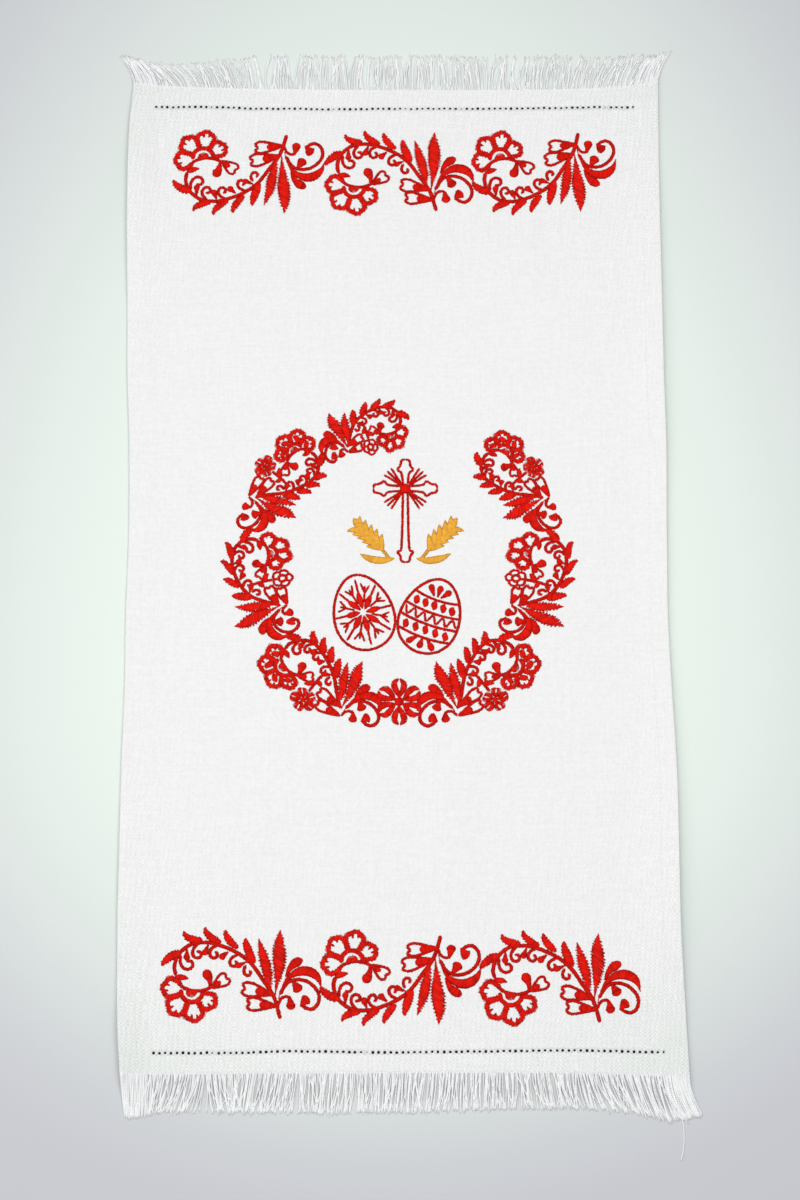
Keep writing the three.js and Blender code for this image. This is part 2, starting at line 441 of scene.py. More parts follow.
def cloth_material(weave):
    material = bpy.data.materials.new("bleached plain weave")
    tree, shader = nodes_of(material)
    own_map = add_node(tree, "ShaderNodeUVMap", uv_map="weave").outputs[0]
    yarns = place_group(tree, weave, {"Map": own_map})
    place = add_node(tree, "ShaderNodeTexCoord").outputs["Object"]
    tone = mix_colours(tree, yarns["Uneven"], THIN_YARN, FULL_YARN)
    # painted shade between the yarns
    between = math_node(tree, "MULTIPLY", yarns["Hollow"], PAINTED_YARN_SHADE_SHARE)
    tone = mix_colours(tree, between, tone, PAINTED_YARN_SHADE)
    clouds = math_node(tree, "MULTIPLY", noise_node(tree, place, CLOUDS_A_METRE, 3.0), CLOUD_SHARE)
    tone = mix_colours(tree, clouds, tone, CLOUD)
    grain = ramp_node(tree, noise_node(tree, place, GRAINS_A_METRE, 2.0), GRAIN_REACH, (0.0, GRAIN_SHARE))
    tone = mix_colours(tree, grain, tone, GRAIN)
    # painted shade: the cloth turns darker towards its corners, more so at its near end
    part = axes_of(tree, place)
    across = math_node(tree, "POWER", math_node(tree, "DIVIDE", part[0], SHADE_AND_PATTERN_OVAL[0]), 2.0)
    beyond = math_node(tree, "SUBTRACT", part[1], SHADE_AND_PATTERN_MIDDLE)
    along = math_node(tree, "POWER", math_node(tree, "DIVIDE", beyond, SHADE_AND_PATTERN_OVAL[1]), 2.0)
    outward = math_node(tree, "ADD", across, along)
    corner = ramp_node(tree, outward, PAINTED_CORNER_REACH, (0.0, PAINTED_CORNER_SHARE), interpolation_type="SMOOTHSTEP")
    tone = mix_colours(tree, corner, tone, PAINTED_CORNER_SHADE)
    # towards the ends and corners the yarns show more
    shown = ramp_node(tree, outward, PATTERN_REACH, PATTERN_SHARES)
    level = math_node(tree, "MULTIPLY_ADD", yarns["Crossings"], shown, 1.0)
    woven = add_node(tree, "ShaderNodeVectorMath", {0: tone, "Scale": level}, operation="SCALE").outputs[0]
    surface = {
        "Base Color": woven,
        "Roughness": math_node(tree, "MULTIPLY_ADD", yarns["Hollow"], HOLLOW_ROUGHER, CLOTH_ROUGHNESS),
        "Normal": bump_node(tree, *CLOTH_BUMP, yarns["Height"]),
        "Sheen Weight": 0.12,
        "Sheen Roughness": 0.6,
        "Specular IOR Level": 0.25,
    }
    fill(tree, shader, surface)
    return material


PLY_SHADE = 0.35  # painted shade between a thread's plies: how much of its deep tone it takes there
PLY_ROUGHER = 0.15
PLY_BUMP = (0.4, 0.0001)


def thread_material(name, ply, deep, bright, roughness, lustre, turns):
    material = bpy.data.materials.new(name)
    tree, shader = nodes_of(material)
    own_map = add_node(tree, "ShaderNodeUVMap", uv_map="thread").outputs[0]
    plies = place_group(tree, ply, {"Map": own_map, "Turns a mm": turns})
    # the tone attribute mixes the deep and the bright colour: partly each thread's own uneven tone, partly
    # painted shade (stitch ends, threads under others, fringe roots) and painted light (stitches that catch
    # more light)
    tone = add_node(tree, "ShaderNodeAttribute", attribute_name="tone").outputs["Fac"]
    lit = mix_colours(tree, tone, deep, bright)
    # between the plies the colour takes painted shade, towards the deep tone
    surface = {
        "Base Color": mix_colours(tree, math_node(tree, "MULTIPLY", plies["Hollow"], PLY_SHADE), lit, deep),
        "Roughness": math_node(tree, "MULTIPLY_ADD", plies["Hollow"], PLY_ROUGHER, roughness),
        "Normal": bump_node(tree, *PLY_BUMP, plies["Height"]),
        "Specular IOR Level": lustre,
    }
    fill(tree, shader, surface)
    return material


def shade_material():
    """Painted shade: the dark colour that stands in for the shade inside the hemstitch holes."""
    material = bpy.data.materials.new("shade under the holes")
    tree, shader = nodes_of(material)
    speckle = noise_node(tree, add_node(tree, "ShaderNodeTexCoord").outputs["Object"], 300.0, 2.0)
    tone = mix_colours(tree, speckle, (0.010, 0.010, 0.012, 1), (0.02, 0.02, 0.022, 1))
    fill(tree, shader, {"Base Color": tone, "Roughness": 0.9, "Specular IOR Level": 0.2})
    return material


# The cloth: one grid sheet, with its side hems turned under and its hemstitch holes cut

HOLES = 87
HOLE_SIZE = 1.7
# How far a hole's corners and its sides lie from its middle, as shares of half its size
HOLE_RIM = (0.78, 1.08)
SMALL_HOLES = 0.04  # the share of holes that have almost closed
SMALL_HOLE, FULL_HOLE = (0.35, 0.6), (0.9, 1.12)  # between which shares of the size they are
HOLE_FLATNESS = (0.8, 1.1)  # between which shares of its width a hole is tall
HOLE_SHIFT = 0.12
HEM_WIDTH = 14.6
HEM_SLOPE = 6.0  # over this width the face comes down from the hem's flap
# How far in from the long edges the hemstitching starts and ends
PANEL_INSETS = {"near": (19.2, 13.0), "far": (14.4, 14.7)}
HEM_FOLD = table(
    "inset z",
    (HEM_WIDTH, PANEL_Z),
    (8.0, PANEL_Z),
    (1.3, PANEL_Z),
    (0.3, PANEL_Z + 0.12),
    (0.0, (PANEL_Z + HEM_Z) / 2),
    (0.3, HEM_Z - 0.12),
    (1.3, HEM_Z),
    (6.0, HEM_Z + 0.02),
    (11.0, HEM_Z),
)
NEAR_HEMSTITCH = 13.35  # from the near edge to the middle of the row of holes
FAR_HEMSTITCH = 13.5
# How far the rows of holes wander to the far side, and how far into the cloth that is felt
ROW_WANDER = table(
    "x near far",
    (-165, -0.7, 0.1),
    (-128, -0.7, 0.8),
    (-100, -0.6, 0.0),
    (-75, 0.3, -0.1),
    (-38, 0.0, -0.5),
    (-11, -0.5, 0.0),
    (60, 0.2, 0.0),
    (100, 0.8, 0.3),
    (125, 0.6, 0.7),
    (155, 0.1, 0.2),
)
ROW_REACH = 10.0
ROW_PITCH = 5.6
ROW_CLEAR = 2.8  # from a row of holes to the next row of the grid
END_ROWS = np.array([0.0, 0.5, 2.0, 5.0, 8.0])  # the grid's rows next to a cut end
END_REACH = 10.0  # how far into the cloth the wander of its ends is felt
CLOTH_LENGTH = float(end_edge("far", 0.0) - end_edge("near", 0.0))
HEMSTITCH_ROWS = (NEAR_HEMSTITCH, CLOTH_LENGTH - FAR_HEMSTITCH)
HOLE_COLUMNS = len(HEM_FOLD["inset"]) + 2 + 3 * np.arange(HOLES)  # through the middles of the holes


def hem_step(inset):
    """How far the face rises where it passes over the hem's flap."""
    t = np.clip((inset - HEM_WIDTH) / HEM_SLOPE, 0, 1)
    return (HEM_Z - PANEL_Z) * (1 - t * t * (3 - 2 * t))


def cloth_rows():
    """The rows' distances from the near edge, with three rows through each line of holes."""
    close = np.array([-ROW_CLEAR, -HOLE_SIZE / 2, 0.0, HOLE_SIZE / 2, ROW_CLEAR])
    near, far = (row + close for row in HEMSTITCH_ROWS)
    count = int(round((far[0] - near[-1]) / ROW_PITCH))
    middle = np.linspace(near[-1], far[0], count + 1)[1:-1]
    return np.concatenate([END_ROWS, near, middle, far, CLOTH_LENGTH - END_ROWS[::-1]])


def hole_rows(rows):
    """The numbers of the rows through the middles of the holes."""
    return np.array([np.argmin(abs(rows - row)) for row in HEMSTITCH_ROWS])


def cloth_place(rows):
    """Where each grid point of the cloth lies, as arrays of rows by columns, from hem to hem."""
    along = (rows / CLOTH_LENGTH)[:, None]
    left, right = (long_edge(side, end_edge("near", 0.0) + rows)[:, None] for side in ("left", "right"))
    start, stop = (n + (f - n) * along for n, f in zip(PANEL_INSETS["near"], PANEL_INSETS["far"]))
    width = right - left - start - stop
    middles = (np.arange(HOLES) + 0.5) / HOLES
    shares = np.repeat(middles, 3)[None, :] + np.tile([-0.5, 0.0, 0.5], HOLES) * HOLE_SIZE / width
    ones = np.ones_like(along)
    panel = left + start + width * np.concatenate([0 * ones, shares, ones], axis=1)
    fold = HEM_FOLD["inset"]
    x = np.concatenate([left + fold, panel, (right - fold)[:, ::-1]], axis=1)
    hem = ones * HEM_FOLD["z"]
    face = PANEL_Z + hem_step(np.minimum(panel - left, right - panel))
    z = np.concatenate([hem, face, hem[:, ::-1]], axis=1)
    # the cut ends wander, and the rows next to them follow less and less
    y = end_edge("near", 0.0) + rows[:, None]
    for end, apart in (("near", rows), ("far", CLOTH_LENGTH - rows)):
        y = y + (end_edge(end, x) - end_edge(end, 0.0)) * np.exp(-apart / END_REACH)[:, None]
    for end, row in zip(("near", "far"), HEMSTITCH_ROWS):
        wander = smooth_through(x, ROW_WANDER["x"], ROW_WANDER[end])
        y = y + wander * np.exp(-(((rows - row) / ROW_REACH) ** 2))[:, None]
    return x, y, lift_at(x, y) + z


def round_holes(x, y, rows):
    """Make each hole round and of its own size, by its eight points."""
    for row in hole_rows(rows):
        small = rng.random(HOLES) < SMALL_HOLES
        grow = np.where(small, rng.uniform(*SMALL_HOLE, HOLES), rng.uniform(*FULL_HOLE, HOLES))
        flat = rng.uniform(*HOLE_FLATNESS, HOLES)
        shift = rng.normal(0, HOLE_SHIFT, (2, HOLES))
        for h, column in enumerate(HOLE_COLUMNS):
            own_x, own_y = x[row, column] + shift[0, h], y[row, column] + shift[1, h]
            for dj in (-1, 0, 1):
                for di in (-1, 0, 1):
                    rim = HOLE_RIM[0] if di and dj else HOLE_RIM[1]
                    x[row + dj, column + di] = own_x + di * rim * grow[h] * HOLE_SIZE / 2
                    y[row + dj, column + di] = own_y + dj * rim * grow[h] * flat[h] * HOLE_SIZE / 2


def towel_cloth(material):
    rows = cloth_rows()
    x, y, z = cloth_place(rows)
    middle = len(rows) // 2
    width = np.concatenate([[0.0], np.cumsum(np.hypot(np.diff(x[middle]), np.diff(z[middle])))])
    round_holes(x, y, rows)
    columns = len(width)
    deselect_all()
    bpy.ops.mesh.primitive_grid_add(
        x_subdivisions=columns - 1, y_subdivisions=len(rows) - 1, size=2.0, calc_uvs=False
    )
    piece = bpy.context.object
    piece.name = "towel_cloth"
    mesh = piece.data
    grid = points_of(mesh)
    i = np.rint((grid[:, 0] + 1) / 2 * (columns - 1)).astype(int)
    j = np.rint((grid[:, 1] + 1) / 2 * (len(rows) - 1)).astype(int)
    placed = np.stack([x[j, i], y[j, i], z[j, i]], axis=1) * MM
    mesh.vertices.foreach_set("co", placed.ravel())
    # the weave's map runs along the yarns, over the hems' folds too
    add_map(mesh, "weave", np.stack([width[i], rows[j]], axis=1) * MM)
    bake_map(mesh)
    face_columns, face_rows = (n[corner_points(mesh)].reshape(-1, 4).min(axis=1) for n in (i, j))
    cut_hemstitch_holes(piece, rows, face_columns, face_rows)
    solidify = piece.modifiers.new("cloth thickness", "SOLIDIFY")
    solidify.thickness = CLOTH_THICKNESS * MM
    solidify.offset = 0.0
    make_active(piece)
    bpy.ops.object.modifier_apply(modifier=solidify.name)
    piece.data.shade_smooth()
    return finish_piece(piece, material)


def cut_hemstitch_holes(piece, rows, face_columns, face_rows):
    """Delete the four faces round the middle of each hole."""
    in_column = np.isin(face_columns, np.concatenate([HOLE_COLUMNS - 1, HOLE_COLUMNS]))
    in_row = np.isin(face_rows, np.concatenate([hole_rows(rows) - 1, hole_rows(rows)]))
    make_active(piece)
    bpy.ops.object.mode_set(mode="EDIT")
    bpy.ops.mesh.select_mode(type="FACE")
    bpy.ops.mesh.select_all(action="DESELECT")
    bpy.ops.object.mode_set(mode="OBJECT")
    piece.data.polygons.foreach_set("select", in_column & in_row)
    bpy.ops.object.mode_set(mode="EDIT")
    bpy.ops.mesh.delete(type="FACE")
    bpy.ops.object.mode_set(mode="OBJECT")


def hole_places(row):
    """The middles of the holes in one hemstitched row, from left to right."""
    x, y, _ = cloth_place(np.array([row]))
    return x[0, HOLE_COLUMNS], y[0, HOLE_COLUMNS]


def hemstitch_shade(material):
    """Painted shade for the holes: a small thin dark round inside the cloth, across each hole, where there
    is only shade.
    """
    radius, thickness, inside, sides = 1.35, 0.1, 0.03, 8
    angles = np.arange(sides) * 2 * math.pi / sides
    circle = np.stack([np.cos(angles), np.sin(angles)], axis=1) * radius
    points, faces = [], []
    for row in HEMSTITCH_ROWS:
        for x, y in zip(*hole_places(row)):
            first = sides * len(points)
            low = float(face_height(x, y)) - CLOTH_THICKNESS + inside
            for z in (low, low + thickness):
                points.append(np.column_stack([circle + (x, y), np.full(sides, z)]))
            under = [first + k for k in range(sides)]
            over = [n + sides for n in under]
            faces += [under[::-1], over]
            faces += [[under[k - 1], under[k], over[k], over[k - 1]] for k in range(sides)]
    mesh = bpy.data.meshes.new("hemstitch_shade")
    mesh.from_pydata((np.concatenate(points) * MM).tolist(), [], faces)
    return finish_piece(new_piece("hemstitch_shade", mesh), material)


# Shapes to embroider, each a column of satin stitch

OUTLINE = 3.1  # the width of an outlined shape's column
STEM = 2.5
THIN = 2.05
POINT = 0.18  # half the width of a pointed end
LINE_END = (0.45, 0.55)  # of a line's half width: what its ends have, and what it gains over its taper


def sample(points, step=0.2):
    """Points close together on a smooth curve through the given ones, with the distance along it."""
    points = np.asarray(points, float)
    gaps = np.linalg.norm(np.diff(points, axis=0), axis=1) ** 0.5
    keys = np.concatenate([[0.0], np.cumsum(gaps)])
    fine = np.linspace(0, keys[-1], max(8, int(np.sum(gaps**2) / step)))
    path = np.stack([smooth_through(fine, keys, points[:, k]) for k in (0, 1)], axis=1)
    run = np.concatenate([[0.0], np.cumsum(np.linalg.norm(np.diff(path, axis=0), axis=1))])
    return path, run


def stroke(points, half_width, slant=0.0, ragged=0.0):
    """A column of satin stitch: its middle line, half its width by the share along it, the lean of its
    stitches and the depth of its saw-tooth edge."""
    return {"points": np.asarray(points, float), "half": half_width, "slant": slant, "ragged": ragged}


def line(points, width=OUTLINE, taper=1.2, ragged=0.2):
    def half(share, run):
        ends = np.minimum(share, 1 - share) * run
        return width / 2 * np.clip(LINE_END[0] + LINE_END[1] * ends / taper, 0, 1)

    return stroke(points, half, ragged=ragged)


def at_angle(centre, angle, distance):
    turn = math.radians(angle)
    return np.asarray(centre, float) + distance * np.array([math.cos(turn), math.sin(turn)])


def beside(root, heading, along, aside):
    """A place some way along a heading, and some way to its left."""
    return at_angle(at_angle(root, heading, along), heading + 90, aside)


def bowed(root, tip, bow, late=0.67):
    """A line from root to tip that bends to its left by the bow, and turns to its tip at a late share."""
    early, fullness = 0.33, 0.89
    root, tip = np.asarray(root, float), np.asarray(tip, float)
    way = tip - root
    side = np.array([-way[1], way[0]]) / np.linalg.norm(way)
    return [root, *(root + way * share + side * bow * fullness for share in (early, late)), tip]


def pointed(width, belly, slim):
    """Half the width of a shape with two points, widest at its belly and with slimmer ends where asked."""
    power = math.log(0.5) / math.log(belly)

    def half(share, run):
        return width / 2 * np.clip(np.sin(math.pi * share**power), 0, 1) ** slim + POINT

    return half


def leaf(root, tip, width, bow=0.0, belly=0.42, slim=0.85, slant=0.35, ragged=0.12, late=0.67):
    """A solid leaf, pointed at both ends."""
    return stroke(bowed(root, tip, bow, late), pointed(width, belly, slim), slant, ragged)


def crescent(points, width, belly=0.5, slim=0.8):
    """A curved leaf along several points, pointed at both ends."""
    return stroke(points, pointed(width, belly, slim), slant=0.3, ragged=0.1)


def drop(root, tip, width, bow=0.0):
    """A solid drop with a narrow root and a round end."""
    full, neck_root, neck_gain, flare = 0.68, 0.26, 0.74, 1.3

    def half(share, run):
        neck = neck_root + neck_gain * np.clip(share / full, 0, 1) ** flare
        cap = np.sqrt(np.clip(1 - ((share - full) / (1 - full)) ** 2, 0.02, 1))
        return width / 2 * np.where(share < full, neck, cap)

    return stroke(bowed(root, tip, bow), half)


def disc(centre, radius):
    """A small round of satin stitch."""

    def half(share, run):
        return radius * np.sqrt(np.clip(1 - (2 * share - 1) ** 2, 0.01, 1))

    return stroke([at_angle(centre, 180, radius), centre, at_angle(centre, 0, radius)], half)


def ring(centre, radius, width):
    return line([at_angle(centre, a, radius) for a in np.linspace(0, 360, 17)], width, taper=0.1)


def curl(start, heading, length, turning):
    """A thin stem that curls tighter and tighter."""
    steps = 28
    share = (np.arange(steps) + 0.5) / steps
    way = np.radians(heading + turning * (0.25 * share + 0.75 * share**2.2))
    moves = np.stack([np.cos(way), np.sin(way)], axis=1) * length / steps
    return line(np.concatenate([[start], np.asarray(start) + np.cumsum(moves, axis=0)]), THIN)


def petal_outline(centre, angle, spread, inner, outer, width=OUTLINE):
    """One outlined petal with two shoulders and a low peak."""
    shape = table(
        "turn reach",
        (-0.90, inner),
        (-0.98, inner + 0.5 * (outer - inner)),
        (-0.80, 0.90 * outer),
        (-0.36, 0.94 * outer),
        (0.05, 1.03 * outer),
        (0.42, 0.95 * outer),
        (0.82, 0.89 * outer),
        (0.98, inner + 0.5 * (outer - inner)),
        (0.90, inner),
    )
    half = spread / 2
    points = [at_angle(centre, angle - half * t, r) for t, r in zip(shape["turn"], shape["reach"])]
    return line(points, width, ragged=0.3 * width)


def open_flower(centre, size, petals=5, turn=90.0):
    """A flower of outlined petals round a ringed heart."""
    step = 360 / petals
    width = min(OUTLINE, 0.18 * size)
    angles = [turn + k * step for k in range(petals)]
    made = [petal_outline(centre, angle, step, 0.40 * size, 0.93 * size, width) for angle in angles]
    made.append(ring(centre, 0.36 * size, 1.15 * width))
    return made


def full_flower(centre, size, petals=6, turn=90.0):
    """A flower of solid petals, each of two curved halves with a stamen in the slit between them."""
    step = 360 / petals
    made = []
    for k in range(petals):
        angle = turn + k * step
        for side in (-1, 1):
            bend = [(0.06 * step, 0.16), (0.27 * step, 0.52), (0.25 * step, 0.80), (0.03 * step, 1.0)]
            points = [at_angle(centre, angle + side * a, r * size) for a, r in bend]
            made.append(crescent(points, 1.5 * size / petals, belly=0.58))
        made.append(line([at_angle(centre, angle, 0.18 * size), at_angle(centre, angle, 0.50 * size)], 1.4))
    made.append(disc(centre, 0.19 * size))
    return made


def bud(root, heading, size, spread, width):
    """An outlined bud with two lips and a solid heart."""
    lips = table(
        "along aside",
        (0.0, 0.0),
        (0.40, 0.16),
        (0.80, 0.26),
        (1.0, 0.14),
        (0.90, 0.0),
        (0.98, -0.16),
        (0.78, -0.27),
        (0.40, -0.16),
        (0.0, 0.0),
    )
    places = zip(*lips.values())
    points = [beside(root, heading, size * along, size * spread * aside) for along, aside in places]
    return [line(points, width), drop(root, at_angle(root, heading, 0.58 * size), 0.28 * size)]


# The border: one unit of a scroll with a half flower, repeated and turned over

UNIT_PITCH = 97.5
UNIT_HEIGHT = 59.0
# How far each unit of a border lies off its even place, and its stretch and turn
TOP_UNITS = table(
    "aside up stretch turn",
    (-0.6, -0.7, 1.0, -0.4),
    (1.2, 0.6, 0.985, 0.1),
    (-0.6, -0.2, 0.955, 1.6),
)
BOTTOM_UNITS = table(
    "aside up stretch turn",
    (-1.0, 1.4, 1.0, -0.5),
    (0.4, -1.9, 1.0, -0.6),
    (1.7, -0.7, 1.0, -0.7),
)
FLOWER_CENTRE = (19.2, 40.2)
# The half flower's petals: which way each lies, its spread and reach, and its heart's reach in the wreath
PETALS = table(
    "angle spread reach heart",
    (188, 50, 18.2, 14.2),
    (135, 50, 18.6, 14.6),
    (84, 47, 18.6, 14.6),
    (33, 50, 16.6, 12.8),
)


def half_flower():
    """Four outlined petals with two notches each, over an arch and a solid heart."""
    centre = FLOWER_CENTRE
    made = []
    for angle, spread, reach, _ in zip(*PETALS.values()):
        made.append(petal_outline(centre, angle, spread, 7.5, reach))
        for aside, depth in ((0.14 * spread, 4.1), (-0.2 * spread, 3.6)):
            notch = at_angle(centre, angle + 0.7 * aside, reach - depth)
            made.append(line([at_angle(centre, angle + aside, reach), notch], 1.5))
    made.append(line([at_angle(centre, a, 7.0) for a in (187, 150, 110, 70, 30, 2)], 2.9))
    made.append(crescent([at_angle(centre, a, r) for a, r in ((180, 3.6), (92, 1.6), (0, 3.6))], 4.6))
    return made


BORDER_STEM = [
    (9, 30.6),
    (8, 25),
    (10.5, 17.5),
    (18, 11.3),
    (28, 10),
    (38, 12.4),
    (48, 17),
    (56, 23.4),
    (63, 33),
    (70, 43.5),
    (74.2, 57),
]


def border_unit(stem=BORDER_STEM):
    flower_foot = [(6, 31), (10, 34.6), (14, 38.2), (20.5, 40.2), (27, 39.6), (32.5, 37)]
    strokes = [line(stem, STEM), line(flower_foot, 2.2)]
    strokes += half_flower()
    # the bud and the drop that hang from the flower, and a small leaf below it
    strokes += bud((31, 38.4), -34, 12.5, spread=1.2, width=1.7)
    strokes.append(drop((30.4, 37.6), (26.6, 27.4), 6.2, bow=1.2))
    strokes.append(leaf((8.6, 31), (16.8, 32.8), 3.4))
    # leaves outside the stem: root, tip, width and bow
    for root, tip, width, bow in (
        ((11.6, 16.2), (0.0, 24.8), 4.9, 1.5),
        ((24.8, 8.4), (13.3, 3.0), 4.3, -2.3),
        ((36.6, 9.9), (26.6, 0.4), 4.3, -2.1),
        ((47.0, 13.6), (39.3, 2.0), 4.4, -1.5),
        ((57.2, 22.8), (52.1, 7.0), 5.2, -0.9),
    ):
        strokes.append(leaf(root, tip, width, bow, belly=0.42, slim=0.6, ragged=1.0, late=0.8))
    # curls inside the stem: root, heading, length and turning
    for root, heading, length, turning in (
        ((11.8, 18), 104, 22, -340),
        ((22.4, 11), 146, 19.5, -370),
        ((35, 11.6), 168, 18.5, -350),
        ((47.5, 17.7), 172, 17, -350),
        ((52.5, 24), 128, 13, -300),
    ):
        strokes.append(curl(root, heading, length, turning))
    # drops inside the stem: root, tip and width
    for root, tip, width in (
        ((15.5, 14), (15.4, 21.4), 4.0),
        ((28.7, 11.4), (26.2, 18), 4.2),
        ((41.2, 15.6), (36, 20), 4.4),
        ((52.6, 22), (45.8, 25), 3.6),
    ):
        strokes.append(drop(root, tip, width))
    # the cluster that the stem ends in: two long leaves, a curved one, a hook and drops
    curved = [(72.8, 45), (75.4, 36.8), (79.6, 30.8), (86, 27.4), (92.2, 27.8), (97, 31.6), (99.4, 37.8)]
    hook = [
        *((73.6, 42), (78.5, 34.6), (85, 32.6), (92, 34.6)),
        *((97.4, 40.5), (97.6, 47), (93.4, 51), (88, 49.4)),
    ]
    strokes += [
        leaf((67.6, 40.5), (60, 7.4), 6.0, 0.8, belly=0.5, slim=1.05, slant=0.6, ragged=2.0),
        leaf((70.6, 44), (73.3, 1.8), 8.0, 0.7, belly=0.62, slim=1.2, slant=0.6, ragged=2.0),
        crescent(curved, 5.8, belly=0.66, slim=1.4),
        drop((77.4, 31), (87.4, 20.0), 6.0, bow=-2.0),
        line(hook, 2.3),
        drop((87, 49.6), (91.6, 43.8), 6.8, bow=-0.6),
        drop((81.4, 33.2), (86, 40.2), 6.6),
        line([(72.4, 49), (74.2, 45), (76.8, 43.3), (80, 43.6)], 1.9),
        drop((79.2, 42.8), (80.8, 51.4), 5.8, bow=-0.4),
    ]
    strokes += bud((71.8, 49.2), 185, 18.6, spread=0.82, width=1.8)
    strokes += bud((69.9, 42.2), 192, 20.2, spread=0.80, width=1.8)
    return strokes


def turned_axes(angle):
    """The two axes of a drawing that is turned by an angle."""
    turn = math.radians(angle)
    return np.array([[math.cos(turn), math.sin(turn)], [-math.sin(turn), math.cos(turn)]])


def moved(strokes, offset, flip, stretch, turn):
    """The strokes of a unit at their place: turned over top to bottom where asked, stretched, and turned
    about the unit's middle."""
    middle = np.array([UNIT_PITCH, UNIT_HEIGHT]) / 2
    axes = turned_axes(turn)
    made = []
    for s in strokes:
        apart = (s["points"] - middle) * (stretch, -1 if flip else 1)
        made.append({**s, "points": apart @ axes + middle + np.asarray(offset, float)})
    return made


def border(left, foot, first_flipped, units):
    """Three units in a row, each a little off its even place, width and level."""
    scroll = border_unit()
    strokes = []
    for k, (aside, up, stretch, turn) in enumerate(zip(*units.values())):
        flip = (k % 2 == 0) == first_flipped
        strokes += moved(scroll, (left + k * UNIT_PITCH + aside, foot + up), flip, stretch, turn)
    return strokes


# The wreath: the border's scroll bent round a ring, in two halves that grow from a flower at its foot

WREATH_CENTRE = (0.0, 1.0)
WREATH_RADIUS = 92.0
FOOT_ANGLE, FOOT_SIZE, FOOT_ROOM = 270, 15.0, 7.5
LEFT_SCALES = (0.80, 0.77, 0.71, 0.62)
RIGHT_SCALES = (0.80, 0.77, 0.70)
STITCH_SCALE = (0.6, 0.45)  # of a column's width: what a bent unit keeps, and what its own scale adds


def on_ring(angle, radius=WREATH_RADIUS):
    return at_angle(WREATH_CENTRE, angle, radius)


def bent(strokes, start, forward, scale, flip):
    """The strokes of a border unit bent round the ring from a start angle, growing the given way round."""
    made = []
    for s in strokes:
        u, v = s["points"].T
        height = (UNIT_HEIGHT - v if flip else v) - UNIT_HEIGHT / 2
        angles = start + forward * np.degrees((UNIT_PITCH - u) * scale / WREATH_RADIUS)
        points = np.array([on_ring(a, WREATH_RADIUS + h * scale) for a, h in zip(angles, height)])
        half = thinner(s["half"], STITCH_SCALE[0] + STITCH_SCALE[1] * scale)
        made.append({**s, "points": points, "half": half})
    return made


def thinner(half, share):
    return lambda along, run: share * half(along, run)


def sprig(number):
    """A small flower on a stalk with two leaves, which fills the open side of a scroll."""
    stalk = [(46.5, 24.5), (45.4, 31), (44.9, 37), (44.6, 43)]
    leaves = [leaf((45, 35), (38.4, 40), 3.6, bow=0.6), leaf((45.4, 31), (50.4, 35), 3.0)]
    strokes = [line(stalk, THIN), *leaves]
    flower = open_flower if number % 2 else full_flower
    return strokes + flower((44.6, 51.0), 9.2, 5)


def petal_hearts():
    """Solid middles for the petals of a half flower."""
    hearts = []
    for angle, reach in zip(PETALS["angle"], PETALS["heart"]):
        root, tip = at_angle(FLOWER_CENTRE, angle, 8.4), at_angle(FLOWER_CENTRE, angle, reach)
        hearts.append(leaf(root, tip, 5.2, belly=0.55))
    return hearts


def half_wreath(scales, forward):
    strokes = []
    angle = FOOT_ANGLE + forward * FOOT_ROOM
    for number, scale in enumerate(scales):
        scroll = border_unit(BORDER_STEM[:-1]) + sprig(number) + (petal_hearts() if number % 2 == 0 else [])
        strokes += bent(scroll, angle, forward, scale, number % 2 == 1)
        angle += forward * math.degrees(UNIT_PITCH * scale / WREATH_RADIUS)
    return strokes


def wreath_left():
    return half_wreath(LEFT_SCALES, -1) + full_flower(on_ring(FOOT_ANGLE), FOOT_SIZE, 6, FOOT_ANGLE)


def wreath_right():
    return half_wreath(RIGHT_SCALES, 1)


# Two decorated eggs, a cross and two ears of grain

EGG_WIDTH, EGG_HEIGHT = 38.0, 50.0
EGG_NARROWS = 0.16  # how much narrower an egg is at its top


def egg(centre, tilt):
    """An egg's outline, and a function that places a point of its ornament in shares of its half sizes."""
    axes = turned_axes(tilt)

    def place(u, v):
        across = u * (1 - EGG_NARROWS * v) * EGG_WIDTH / 2
        return np.asarray(centre) + np.array([across, v * EGG_HEIGHT / 2]) @ axes

    outline = [place(math.cos(a), math.sin(a)) for a in np.linspace(0, 2 * math.pi, 25)]
    return line(outline, 1.8, taper=0.1), place


def star_egg(centre, tilt):
    outline, place = egg(centre, tilt)

    def spot(angle, reach):
        return place(reach * math.cos(math.radians(angle)), 0.9 * reach * math.sin(math.radians(angle)))

    strokes = [outline]
    for angle in range(0, 360, 45):
        strokes.append(leaf(spot(angle, 0.10), spot(angle, 0.62), 3.6, belly=0.5))
        strokes.append(line([spot(angle, 0.55), spot(angle, 0.98)], 1.5))
        branch = angle + 22.5
        strokes.append(line([spot(branch, 0.28), spot(branch, 0.80)], 1.4))
        for side in (-1, 1):
            strokes.append(line([spot(branch, 0.58), spot(branch + side * 11, 0.86)], 1.4))
    return strokes


